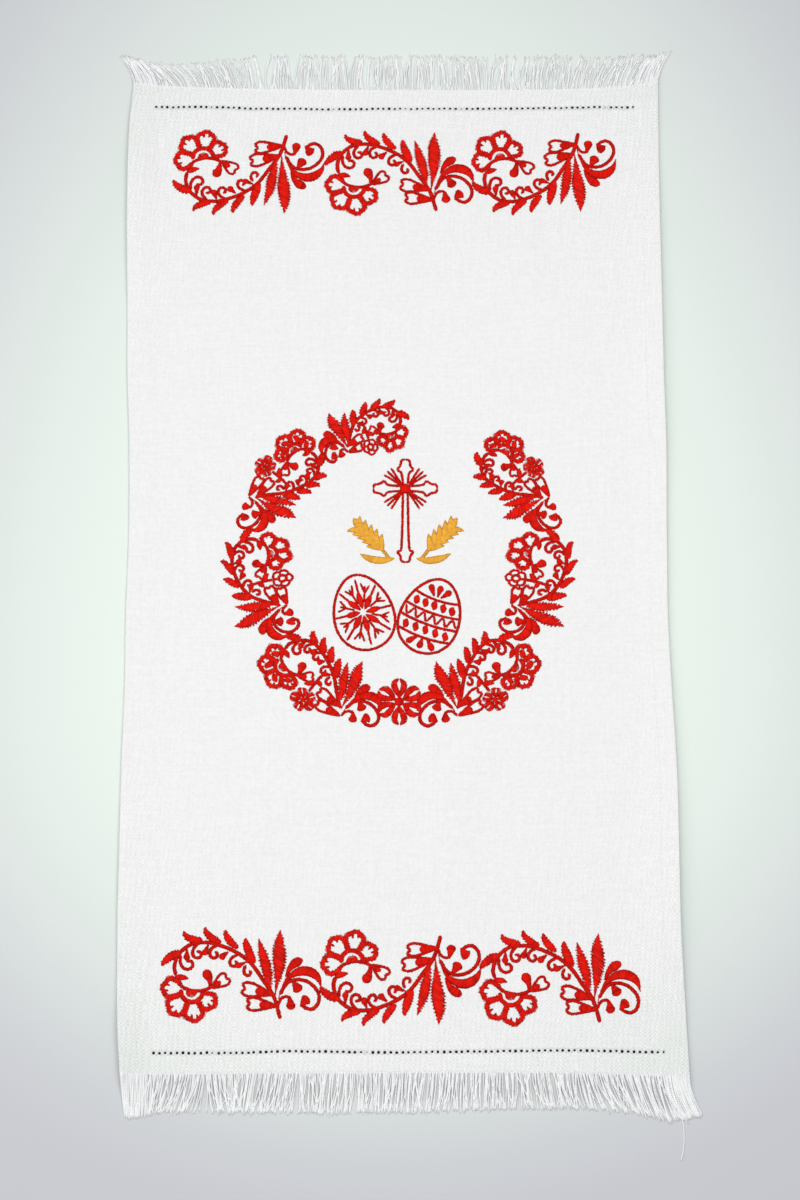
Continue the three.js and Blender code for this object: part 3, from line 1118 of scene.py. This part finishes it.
def banded_egg(centre, tilt):
    outline, place = egg(centre, tilt)
    strokes = [outline]
    for v in (-0.52, -0.16, 0.16, 0.52):
        reach = math.sqrt(1 - v * v)
        strokes.append(line([place(u * reach, v - 0.08 * (1 - u * u)) for u in np.linspace(-1, 1, 7)], 1.7))
    steps = np.linspace(-0.92, 0.92, 12)
    strokes.append(line([place(u, 0.10 * (-1) ** k - 0.07 * (1 - u * u)) for k, u in enumerate(steps)], 1.5))
    for u in np.linspace(-0.66, 0.66, 5):
        for v in (0.28, -0.40):
            strokes.append(leaf(place(u, v - 0.11), place(u, v + 0.13), 4.0, belly=0.5))
    for v, sign in ((0.58, 1), (-0.64, -1)):
        for u in (-0.42, 0.0, 0.42):
            tip = place(u, v + sign * (0.26 - 0.3 * u * u))
            strokes.append(drop(place(0.3 * u, v - sign * 0.06), tip, 4.2))
    return strokes


def budded_cross(centre, arm, foot):
    """An outlined cross whose arms end in three small buds, with rays between its arms."""
    strokes = []
    for heading, reach in ((0, arm), (90, arm - 1), (180, arm), (270, foot)):
        # one side of an arm, from the cross's middle to the tip: how far along the arm and how far aside
        edge = [
            *((3, 1.5), (reach - 9, 2.6), (reach - 7, 5.0)),
            *((reach - 4, 3.2), (reach - 0.6, 2.4), (reach, 0)),
        ]
        for side in (-1, 1):
            points = [beside(centre, heading, along, side * aside) for along, aside in edge]
            strokes.append(line(points, 1.6))
    for quarter in (45, 135, 225, 315):
        for lean in (-11, 0, 11):
            root, tip = at_angle(centre, quarter + lean * 0.5, 3.5), at_angle(centre, quarter + lean, 16.5)
            strokes.append(line([root, tip], 1.5))
    strokes.append(disc(centre, 3.4))
    return strokes


def middle_motifs():
    strokes = star_egg((-23, -32.5), 14) + banded_egg((20, -35), -20)
    return strokes + budded_cross((3.9, 49.5), 20.5, 49)


def grain_ear(root, heading, length, bend):
    """An ear of corn: a stalk with pairs of grains and a last grain at its tip."""
    stalk = [beside(root, heading, length * t, bend * t * t) for t in np.linspace(0, 1, 5)]
    strokes = [line(stalk, 2.2)]
    path, _ = sample(stalk)
    for share in np.linspace(0.30, 0.94, 5):
        k = int(share * (len(path) - 2))
        way = math.degrees(math.atan2(*(path[k + 1] - path[k])[::-1]))
        for side in (-1, 1):
            strokes.append(leaf(path[k], at_angle(path[k], way + side * 38, 10.5), 3.6, bow=-side * 1.0))
    strokes.append(leaf(path[-2], at_angle(path[-1], heading, 9), 4.6))
    return strokes


def gold_motifs():
    left = grain_ear((-6, 2), 122, 27, 5) + [crescent([(-3, 3), (-10, 1.6), (-18, 2.6), (-25, 6)], 4.4)]
    right = grain_ear((14, 2), 58, 27, -5) + [crescent([(11, 3), (18, 1.6), (26, 2.6), (33, 6)], 4.4)]
    return left + right


# Stitches

STITCH_PITCH = 0.42
SLANT_CLOSER = 0.3  # how much closer slanting stitches lie
THREAD_WIDTH = 0.52
THREAD_HEIGHT = 0.22
TOOTH_PITCH = 0.95  # from the tip of a tooth to the notch beside it, on a ragged edge
TOOTH_DEPTH = (0.15, 0.5)
RAGGED_FROM = 1.0  # a column keeps an even edge where its half width is less than this
LEAST_REACH = 0.15
EDGE_JITTER = 0.12
LAYERS, LAYER_STEP = 4, 0.05  # columns that meet lie at different heights
LONG_STITCH = 2.6
SHORT_RINGS, LONG_RINGS = np.array((0.0, 0.5, 1.0)), np.array((0.0, 0.2, 0.8, 1.0))  # by the share along
ARCH = (0.12, 0.055, 0.5)  # how high a stitch rises: the least, what a millimetre of it adds, and the most
ARCH_SHAPE = 0.7
STITCH_SINK = 0.03
# the middle spread sets how far painted light lifts or darkens a few neighbouring stitches together
STITCH_TONE, PAINTED_LIGHT_SPREAD, TONE_SPREAD = 0.80, 0.15, 0.16
NEIGHBOURS = 3  # the threads that a drift of painted light in tone is felt over
PAINTED_END_SHADE = 0.28  # painted shade at a stitch's ends: its tone there, as a share of its middle's


def teeth(at, total):
    """How far the ragged edge of a column stands in or out along it, from -0.5 to 0.5."""
    knots = np.arange(int(total / TOOTH_PITCH) + 2)
    tips = (-1.0) ** knots * rng.uniform(*TOOTH_DEPTH, len(knots))
    return np.interp(at / TOOTH_PITCH, knots, tips)


def stitches(strokes):
    """Every stitch of some strokes, as pairs of ends: each stitch crosses its column from side to side."""
    starts, ends, layers = [], [], []
    for number, s in enumerate(strokes):
        path, run = sample(s["points"])
        slopes = [np.gradient(path[:, k], run + np.arange(len(run)) * TINY) for k in (0, 1)]
        total = run[-1]
        count = max(4, int(total / STITCH_PITCH * (1 + SLANT_CLOSER * s["slant"])))
        at = (np.arange(count) + 0.5) / count * total
        half = s["half"](at / total, total)
        for made, side in ((starts, 1.0), (ends, -1.0)):
            ragged = s["ragged"] * teeth(at, total) * (half > RAGGED_FROM)
            reach = np.maximum(half + ragged + rng.normal(0, EDGE_JITTER, count), LEAST_REACH)
            shifted = np.clip(at + side * s["slant"] * half, 0, total)
            way = unit(np.stack([np.interp(shifted, run, slope) for slope in slopes], axis=1))
            middle = np.stack([np.interp(shifted, run, path[:, k]) for k in (0, 1)], axis=1)
            made.append(middle + np.stack([-way[:, 1], way[:, 0]], axis=1) * (side * reach)[:, None])
        layers.append(np.full(count, LAYER_STEP * (number % LAYERS)))
    return np.concatenate(starts), np.concatenate(ends), np.concatenate(layers)


def stitched_batches(starts, ends, layers, height_at, loft=1.0, thickness=THREAD_HEIGHT):
    """Arched threads for the stitches: short ones with three rings, long ones with four. Where a stitch
    dives into the cloth, painted shade makes it darker."""
    length = np.linalg.norm(ends - starts, axis=1)
    batches, tones = [], []
    for chosen, rings in ((length < LONG_STITCH, SHORT_RINGS), (length >= LONG_STITCH, LONG_RINGS)):
        a, b = starts[chosen][:, None], ends[chosen][:, None]
        flat = a + (b - a) * rings[:, None]
        rise = loft * np.minimum(ARCH[0] + ARCH[1] * length[chosen], ARCH[2])[:, None]
        arch = rise * np.sin(math.pi * rings) ** ARCH_SHAPE
        z = height_at(flat[..., 0], flat[..., 1]) + arch + layers[chosen][:, None] - STITCH_SINK
        lines = np.concatenate([flat, z[..., None]], axis=2)
        count = len(lines)
        widths = np.full((count, len(rings)), THREAD_WIDTH)
        heights = np.full((count, len(rings)), thickness)
        batches.append((lines, widths, heights, "stitch"))
        # single threads differ a little in tone, and painted light makes a few neighbours together look as
        # if they catch more light or less
        own = rng.normal(0, PAINTED_LIGHT_SPREAD, count + NEIGHBOURS - 1)
        painted_light_drift = np.convolve(own, np.full(NEIGHBOURS, NEIGHBOURS**-0.5), "valid")[:count]
        shade = np.clip(STITCH_TONE + painted_light_drift + rng.normal(0, TONE_SPREAD, count), 0, 1)[:, None]
        # painted shade at the end rings, where the stitch dives into the cloth
        tones.append(shade * np.where((rings > 0) & (rings < 1), 1.0, PAINTED_END_SHADE))
    return batches, tones


def embroidery(name, strokes, material):
    batches, tones = stitched_batches(*stitches(strokes), face_height)
    return finish_piece(thread_piece(name, batches, tones), material)


# Sewing in white: the hems' seams and the bars of the hemstitch

SEAM_INSET = 10.7
SEAM_PITCH, SEAM_STITCH = 3.0, 2.3
SEAM_ENDS = (3, 5)  # how far from the near and the far end of the cloth a seam stops
SEAM_SINK = 0.06
SEAM_TONE = 0.75  # even and pale, like the cloth
WRAPS = (-0.42, 0.0, 0.42)  # across a bar of the hemstitch
WRAP_HALF = 1.3
WRAP_DRAW = 0.7  # how much closer together the wraps lie at their far ends


def hem_height(x, y):
    """Just below a hem's upper face, where its seam lies."""
    return lift_at(x, y) + HEM_Z + CLOTH_THICKNESS / 2 - SEAM_SINK


def hem_seams(material):
    y = np.arange(-CLOTH_LENGTH / 2 + SEAM_ENDS[0], CLOTH_LENGTH / 2 - SEAM_ENDS[1], SEAM_PITCH)
    starts, ends = [], []
    for side, sign in (("left", 1), ("right", -1)):
        for made, shift in ((starts, 0.0), (ends, SEAM_STITCH)):
            made.append(np.stack([long_edge(side, y + shift) + sign * SEAM_INSET, y + shift], axis=1))
    starts, ends = np.concatenate(starts), np.concatenate(ends)
    batches, _ = stitched_batches(starts, ends, np.zeros(len(starts)), hem_height, loft=0.25, thickness=0.12)
    tones = [np.full((1, 1), SEAM_TONE)] * len(batches)
    return finish_piece(thread_piece("hem_seams", batches, tones), material)


def hemstitch_bars(material):
    """Each bar of warps between two holes is drawn together by three wraps."""
    starts, ends = [], []
    for row in HEMSTITCH_ROWS:
        x, y = hole_places(row)
        gap = np.diff(x).mean()
        for shift in WRAPS:
            starts.append(np.stack([x + gap / 2 + shift, y - WRAP_HALF], axis=1))
            ends.append(np.stack([x + gap / 2 + shift * WRAP_DRAW, y + WRAP_HALF], axis=1))
    starts, ends = np.concatenate(starts), np.concatenate(ends)
    batches, tones = stitched_batches(starts, ends, np.zeros(len(starts)), face_height, loft=0.4)
    return finish_piece(thread_piece("hemstitch_bars", batches, tones), material)


# Fringe

FAR_FRINGE = table(
    "x lean reach",
    (-177, -9.2, 20.7),
    (-150, -14.6, 16.4),
    (-135, -13.6, 16.2),
    (-118, -8.6, 18.6),
    (-98, -3.4, 22.4),
    (-78, 0.6, 23.6),
    (-43, -0.4, 23.8),
    (12, 0.8, 24.2),
    (52, -2.6, 23.4),
    (57, 2.8, 23.2),
    (104, 3.4, 23.4),
    (140, 9.6, 21.6),
    (163, 10.8, 20.8),
    (172, 8.8, 21.8),
)
NEAR_FRINGE = table(
    "x lean reach",
    (-172, 2.8, 25.8),
    (-160, -0.8, 26.4),
    (-154, -2.2, 25.0),
    (-138, -6.8, 23.2),
    (-122, -7.2, 23.0),
    (-117, 4.8, 23.6),
    (-92, -3.2, 23.6),
    (-39, -1.2, 24.4),
    (18, -2.4, 24.0),
    (61, 0.4, 22.4),
    (104, 4.6, 21.4),
    (130, 10.2, 23.0),
    (160, 10.0, 27.6),
    (179, 7.8, 22.6),
)
PARTINGS = {  # where the fringe lies open between two bunches, and how far each leans away
    "far": table("x push", (-88.5, 5.0), (-70.5, 4.2), (-32.5, 4.2), (3.5, 3.0), (58.5, 4.0)),
    "near": table("x push", (-62.0, 2.2), (-27.0, 2.6), (34.0, 2.0)),
}
PARTING_REACH = 7.0
PARTING_CALM = 0.8  # how much less the locks beside a parting cross each other
# Locks, which are a few threads that keep together
FRINGE_HEM = 15.5  # at each hem the cloth is double and its warps lie close
HEM_MARGIN, HEM_CLEAR = 0.9, 1.6  # from the edge to the first lock, and from the hem to the first loose lock
LOOSE_LOCKS, HEM_LOCKS = {"far": 310, "near": 408}, 12
LOOSE_THREADS, HEM_THREADS = 2, {"far": 4, "near": 6}
ROOT_JITTER = 0.3
LOOSE_LEAN, HEM_LEAN = 0.9, 0.5  # how much single locks differ in their lean
BUNCHES, BUNCH_LEAN = 34, 0.8  # neighbouring locks lean together in about this many bunches
CROSSING_LOCKS, CROSSING_LEAN = 0.36, 4.6  # the share of locks that fall across their neighbours
REACH_SPREAD = 0.018
LOCK_BOW, HEM_BOW = {"far": 1.3, "near": 0.9}, 0.3
LOCK_RISE = {"far": 0.5, "near": 1.2}  # how high the locks lie over each other
FRINGE_CURVE = 1.7  # a lock leaves the cloth straight, and leans more and more
# Threads
THREAD_STEPS = 13
THREAD_GAP, GAP_JITTER = 0.33, 0.12
THREAD_SPLAY, SPLAY_JITTER = (0.6, 1.5), 0.5  # how far aside a tip lies, as a share of its root's
DRAWN_IN = 0.8
CURL_SIZE, CURL_TURN = 0.3, 5
LENGTH_SPREAD = {"far": 0.035, "near": 0.024}  # the near fringe is cut more evenly
UPPER_SIZE, LOWER_SIZE = (0.62, 0.82), (0.45, 0.6)  # every other thread is finer and lies under the rest
THREAD_SIZE = {"far": 1.0, "near": 1.08}
TIP_WIDTH = {"far": 0.5, "near": 0.8}  # as a share of the thread's
FRINGE_ROOT = 2.0  # how far a thread starts inside the cloth
FRINGE_EDGE = 0.075  # the share of a thread that lies over the cloth
HEM_ROOT_Z, LOOSE_ROOT_Z = 0.80, 0.12  # over the middle of the panel's thickness
FALL_RATE, FALL_SHAPE = 2.4, 1.5  # how soon past the edge a thread comes down to the floor
THREAD_CLEAR = 0.02  # from the floor
LOCK_LAYER, THREAD_LAYER, UPPER_LAYER = 0.4, 0.4, 0.6
# A thread that lies under others has their shade painted into its colour, and painted shade darkens the
# roots, so a tip is paler than a root
UPPER_TONE, SHADED_HEM_LOWER_TONE, SHADED_LOWER_TONES = 0.95, 0.6, {"far": 0.75, "near": 0.7}
TONE_JITTER, PAINTED_ROOT_SHADE = 0.1, 0.3
STRAY_ROUTE = [(165, -326), (169, -338), (173.6, -352), (174.6, -364), (173.8, -373), (172.4, -378.4)]
STRAY_Z, STRAY_ROOT_Z, STRAY_ROOT_STEPS = 0.5, 0.9, 6
STRAY_WIDTH, STRAY_TONE = 0.82, 0.9


def fringe_locks(end, lay):
    """Small locks of warps: where each is rooted, its lean, reach and bow, and whether it is in a hem."""
    y_end = float(end_edge(end, 0.0))
    left, right = float(long_edge("left", y_end)), float(long_edge("right", y_end))
    hems = [
        np.linspace(left + HEM_MARGIN, left + FRINGE_HEM, HEM_LOCKS),
        np.linspace(right - FRINGE_HEM, right - HEM_MARGIN, HEM_LOCKS),
    ]
    inner = np.linspace(left + FRINGE_HEM + HEM_CLEAR, right - FRINGE_HEM - HEM_CLEAR, LOOSE_LOCKS[end])
    inner += rng.normal(0, ROOT_JITTER, LOOSE_LOCKS[end])
    roots = np.concatenate(hems + [inner])
    count = len(roots)
    in_hem = np.arange(count) < 2 * HEM_LOCKS
    own_lean = rng.normal(0, 1, count) * np.where(in_hem, HEM_LEAN, LOOSE_LEAN)
    lean = np.interp(roots, lay["x"], lay["lean"]) + own_lean
    bunch_at = np.sort(rng.uniform(left, right, BUNCHES))
    bunch_lean = np.interp(roots, bunch_at, rng.normal(0, BUNCH_LEAN, BUNCHES))
    crosses = ~in_hem & (rng.random(count) < CROSSING_LOCKS)
    aside = roots[:, None] - PARTINGS[end]["x"]
    near = np.exp(-np.abs(aside) / PARTING_REACH)
    lean += (PARTINGS[end]["push"] * np.sign(aside) * near).sum(axis=1)
    calm = 1 - PARTING_CALM * near.max(axis=1)
    lean += calm * (np.where(in_hem, 0.0, bunch_lean) + crosses * rng.normal(0, CROSSING_LEAN, count))
    reach = np.interp(roots, lay["x"], lay["reach"]) * rng.normal(1.0, REACH_SPREAD, count)
    bow = rng.normal(0, 1, count) * np.where(in_hem, HEM_BOW, LOCK_BOW[end])
    return roots, lean, reach, bow, in_hem


def fringe(name, end, outward, lay, node, material, stray=False):
    roots, lean, reach, bow, in_hem = fringe_locks(end, lay)
    share = np.linspace(0, 1, THREAD_STEPS)
    batches, shades = [], []
    for chosen, threads in ((in_hem, HEM_THREADS[end]), (~in_hem, LOOSE_THREADS)):
        lock = np.repeat(np.flatnonzero(chosen), threads)
        count = len(lock)
        place = np.tile(np.arange(threads) - (threads - 1) / 2, count // threads)
        aside = place * THREAD_GAP + rng.normal(0, GAP_JITTER, count)
        splay = aside * rng.uniform(*THREAD_SPLAY, count) + rng.normal(0, SPLAY_JITTER, count)
        # from its root a thread draws in a little towards its lock, and its tip stands away again
        apart = aside[:, None] * (1 - share) ** 2 + aside[:, None] * DRAWN_IN * 2 * share * (1 - share)
        apart = apart + splay[:, None] * share**2
        wave = rng.normal(0, CURL_SIZE, count)[:, None] * share
        wave = wave * np.sin(CURL_TURN * share + rng.uniform(0, 6, count)[:, None])
        side = lean[lock][:, None] * share**FRINGE_CURVE + bow[lock][:, None] * np.sin(math.pi * share)
        x = roots[lock][:, None] + apart + side + wave
        edge = end_edge(end, roots[lock])
        length = reach[lock] * rng.normal(1.0, LENGTH_SPREAD[end], count)
        y = edge[:, None] + outward * (-FRINGE_ROOT + (length[:, None] + FRINGE_ROOT) * share)
        upper = np.arange(count) % 2 == 0
        thickness = np.where(upper, rng.uniform(*UPPER_SIZE, count), rng.uniform(*LOWER_SIZE, count))
        thickness = thickness * THREAD_SIZE[end]
        widths = thickness[:, None] * np.interp(share, [0, 0.12, 0.85, 1.0], [0.8, 1.0, 1.0, TIP_WIDTH[end]])
        # it comes down from the cloth to the floor, over the threads that lie below it
        over_panel = np.where(in_hem[lock], HEM_ROOT_Z, LOOSE_ROOT_Z)
        root_z = PANEL_Z + lift_at(roots[lock] * 0.998, edge) + over_panel
        layer = LOCK_LAYER * rng.random(len(roots))[lock] + THREAD_LAYER * rng.random(count)
        layer = layer + np.where(upper, UPPER_LAYER, 0.0)
        fall = np.clip(1 - np.maximum(share - FRINGE_EDGE, 0) * FALL_RATE, 0, 1) ** FALL_SHAPE
        hump = LOCK_RISE[end] * np.sin(math.pi * np.clip(share * 1.1, 0, 1)) * layer[:, None]
        z = root_z[:, None] * fall + (1 - fall) * (widths / 2 + THREAD_CLEAR) + hump
        batches.append((np.stack([x, y, z], axis=2), widths, widths, "thread"))
        # painted shade: a thread under others is darker, and its root is darker than its tip
        shaded_lower_tone = np.where(in_hem[lock], SHADED_HEM_LOWER_TONE, SHADED_LOWER_TONES[end])
        tone = np.where(upper, UPPER_TONE, shaded_lower_tone) + rng.normal(0, TONE_JITTER, count)
        shades.append(np.clip(tone[:, None] + PAINTED_ROOT_SHADE * (share - 0.5), 0, 1))
    if stray:
        batches.append(stray_thread())
        shades.append(np.array([[STRAY_TONE]]))
    piece = thread_piece(name, batches, shades)
    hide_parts(node)
    return finish_piece(piece, material)


def stray_thread():
    """One warp end that was never cut to length."""
    path, _ = sample(STRAY_ROUTE, 1.0)
    z = np.full(len(path), STRAY_Z)
    z[:STRAY_ROOT_STEPS] = np.linspace(STRAY_ROOT_Z, STRAY_Z, STRAY_ROOT_STEPS)
    lines = np.concatenate([path, z[:, None]], axis=1)[None]
    widths = np.full((1, len(path)), STRAY_WIDTH)
    return lines, widths, widths, "thread"


# The stage, in metres

FLOOR_SIZE = 9.0
# The floor's own pale mint colour lit by a painted pool of light, and the painted shade it fades to away
# from the pool
MINT_FLOOR_PAINTED_LIT = (0.815, 0.893, 0.818, 1)
FLOOR_PAINTED_SHADE = (0.59, 0.591, 0.625, 1)
LIGHT_POOL_MIDDLE = -0.08
PAINTED_LIGHT_POOL = (0.4, 0.78, 0.35)  # how far the painted pool of light in the middle reaches across, to the far and to the near side
# Each light's name, place and power
SOFTBOXES = (
    ("overhead softbox", (0.12, 0.03, 1.25), 10.8),
    ("left softbox", (-1.0, -0.25, 1.15), 5.4),
)
SOFTBOX_SIZE = 1.3
SOFTBOX_COLOUR = (1.0, 0.985, 0.965)
SURROUND = {"Color": (0.90, 0.95, 1.0, 1), "Strength": 0.42}


def floor_material():
    """A pale green backdrop with a painted pool of light: pale and green in its middle, and greyer away from
    it by painted shade.
    """
    material = bpy.data.materials.new("pale floor")
    tree, shader = nodes_of(material)
    part = axes_of(tree, add_node(tree, "ShaderNodeTexCoord").outputs["Object"])
    across = math_node(tree, "DIVIDE", part[0], PAINTED_LIGHT_POOL[0])
    beyond = math_node(tree, "SUBTRACT", part[1], LIGHT_POOL_MIDDLE)
    far, near = (math_node(tree, "DIVIDE", beyond, reach) for reach in (PAINTED_LIGHT_POOL[1], -PAINTED_LIGHT_POOL[2]))
    along = math_node(tree, "MAXIMUM", far, near)
    squares = (math_node(tree, "POWER", way, 2.0) for way in (across, along))
    painted_light_falloff = ramp_node(tree, math_node(tree, "ADD", *squares), (0.0, 1.0), interpolation_type="SMOOTHSTEP")
    tone = mix_colours(tree, painted_light_falloff, MINT_FLOOR_PAINTED_LIT, FLOOR_PAINTED_SHADE)
    fill(tree, shader, {"Base Color": tone, "Roughness": 0.8, "Specular IOR Level": 0.1})
    return material


def studio():
    deselect_all()
    bpy.ops.mesh.primitive_plane_add(size=FLOOR_SIZE)
    floor = bpy.context.object
    floor.name = "floor"
    floor.data.materials.append(floor_material())
    for name, place, energy in SOFTBOXES:
        softbox = bpy.data.lights.new(name, "AREA")
        softbox.shape = "DISK"
        softbox.size = SOFTBOX_SIZE
        softbox.energy = energy
        softbox.color = SOFTBOX_COLOUR
        lamp = bpy.data.objects.new(name, softbox)
        lamp.location = place
        lamp.rotation_euler = (-Vector(place)).to_track_quat("-Z", "Y").to_euler()
        lamp.visible_camera = False
        bpy.context.scene.collection.objects.link(lamp)
    world = bpy.data.worlds.new("studio")
    world.use_nodes = True
    fill(world.node_tree, world.node_tree.nodes["Background"], SURROUND)
    bpy.context.scene.world = world
    bpy.context.scene.view_settings.view_transform = "Standard"
    bpy.context.scene.view_settings.look = "None"


LENS = 100.0
SENSOR_WIDTH = 36.0
ELEVATION = 75.62
DISTANCE = 2.1274
TARGET = Vector((0.0005, -0.02435, 0.0))


def camera():
    data = bpy.data.cameras.new("camera")
    data.lens = LENS
    data.sensor_width = SENSOR_WIDTH
    made = bpy.data.objects.new("camera", data)
    rise = math.radians(ELEVATION)
    back = Vector((0, -math.cos(rise), math.sin(rise)))
    made.location = TARGET + back * DISTANCE
    made.rotation_euler = (-back).to_track_quat("-Z", "Y").to_euler()
    bpy.context.scene.collection.objects.link(made)
    bpy.context.scene.camera = made


camera()
studio()
ply = twisted_ply_group()
white_cloth = cloth_material(plain_weave_group())
white_warp = thread_material(
    "white warp",
    ply,
    deep=(0.72, 0.73, 0.755, 1),
    bright=(0.97, 0.965, 0.96, 1),
    roughness=0.8,
    lustre=0.2,
    turns=0.7,
)
red_thread = thread_material(
    "red thread",
    ply,
    deep=(0.36, 0.003, 0.001, 1),
    bright=(1.0, 0.010, 0.001, 1),
    roughness=0.42,
    lustre=0.12,
    turns=1.4,
)
gold_thread = thread_material(
    "gold thread",
    ply,
    deep=(0.68, 0.27, 0.03, 1),
    bright=(1.0, 0.57, 0.06, 1),
    roughness=0.45,
    lustre=0.2,
    turns=1.4,
)
hole_shade = shade_material()

cloth = towel_cloth(white_cloth)
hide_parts("cloth")
on_cloth = [
    fringe("fringe_top_threads", "far", 1, FAR_FRINGE, "fringe_top", white_warp),
    fringe("fringe_bottom_threads", "near", -1, NEAR_FRINGE, "fringe_bottom", white_warp, stray=True),
    hem_seams(white_warp),
    hemstitch_bars(white_warp),
    hemstitch_shade(hole_shade),
    embroidery("border_top", border(-148.2, 237.0, False, TOP_UNITS), red_thread),
    embroidery("border_bottom", border(-146.5, -294.9, True, BOTTOM_UNITS), red_thread),
    embroidery("wreath_left", wreath_left(), red_thread),
    embroidery("wreath_right", wreath_right(), red_thread),
    embroidery("eggs_and_cross", middle_motifs(), red_thread),
    embroidery("gold_ears", gold_motifs(), gold_thread),
]
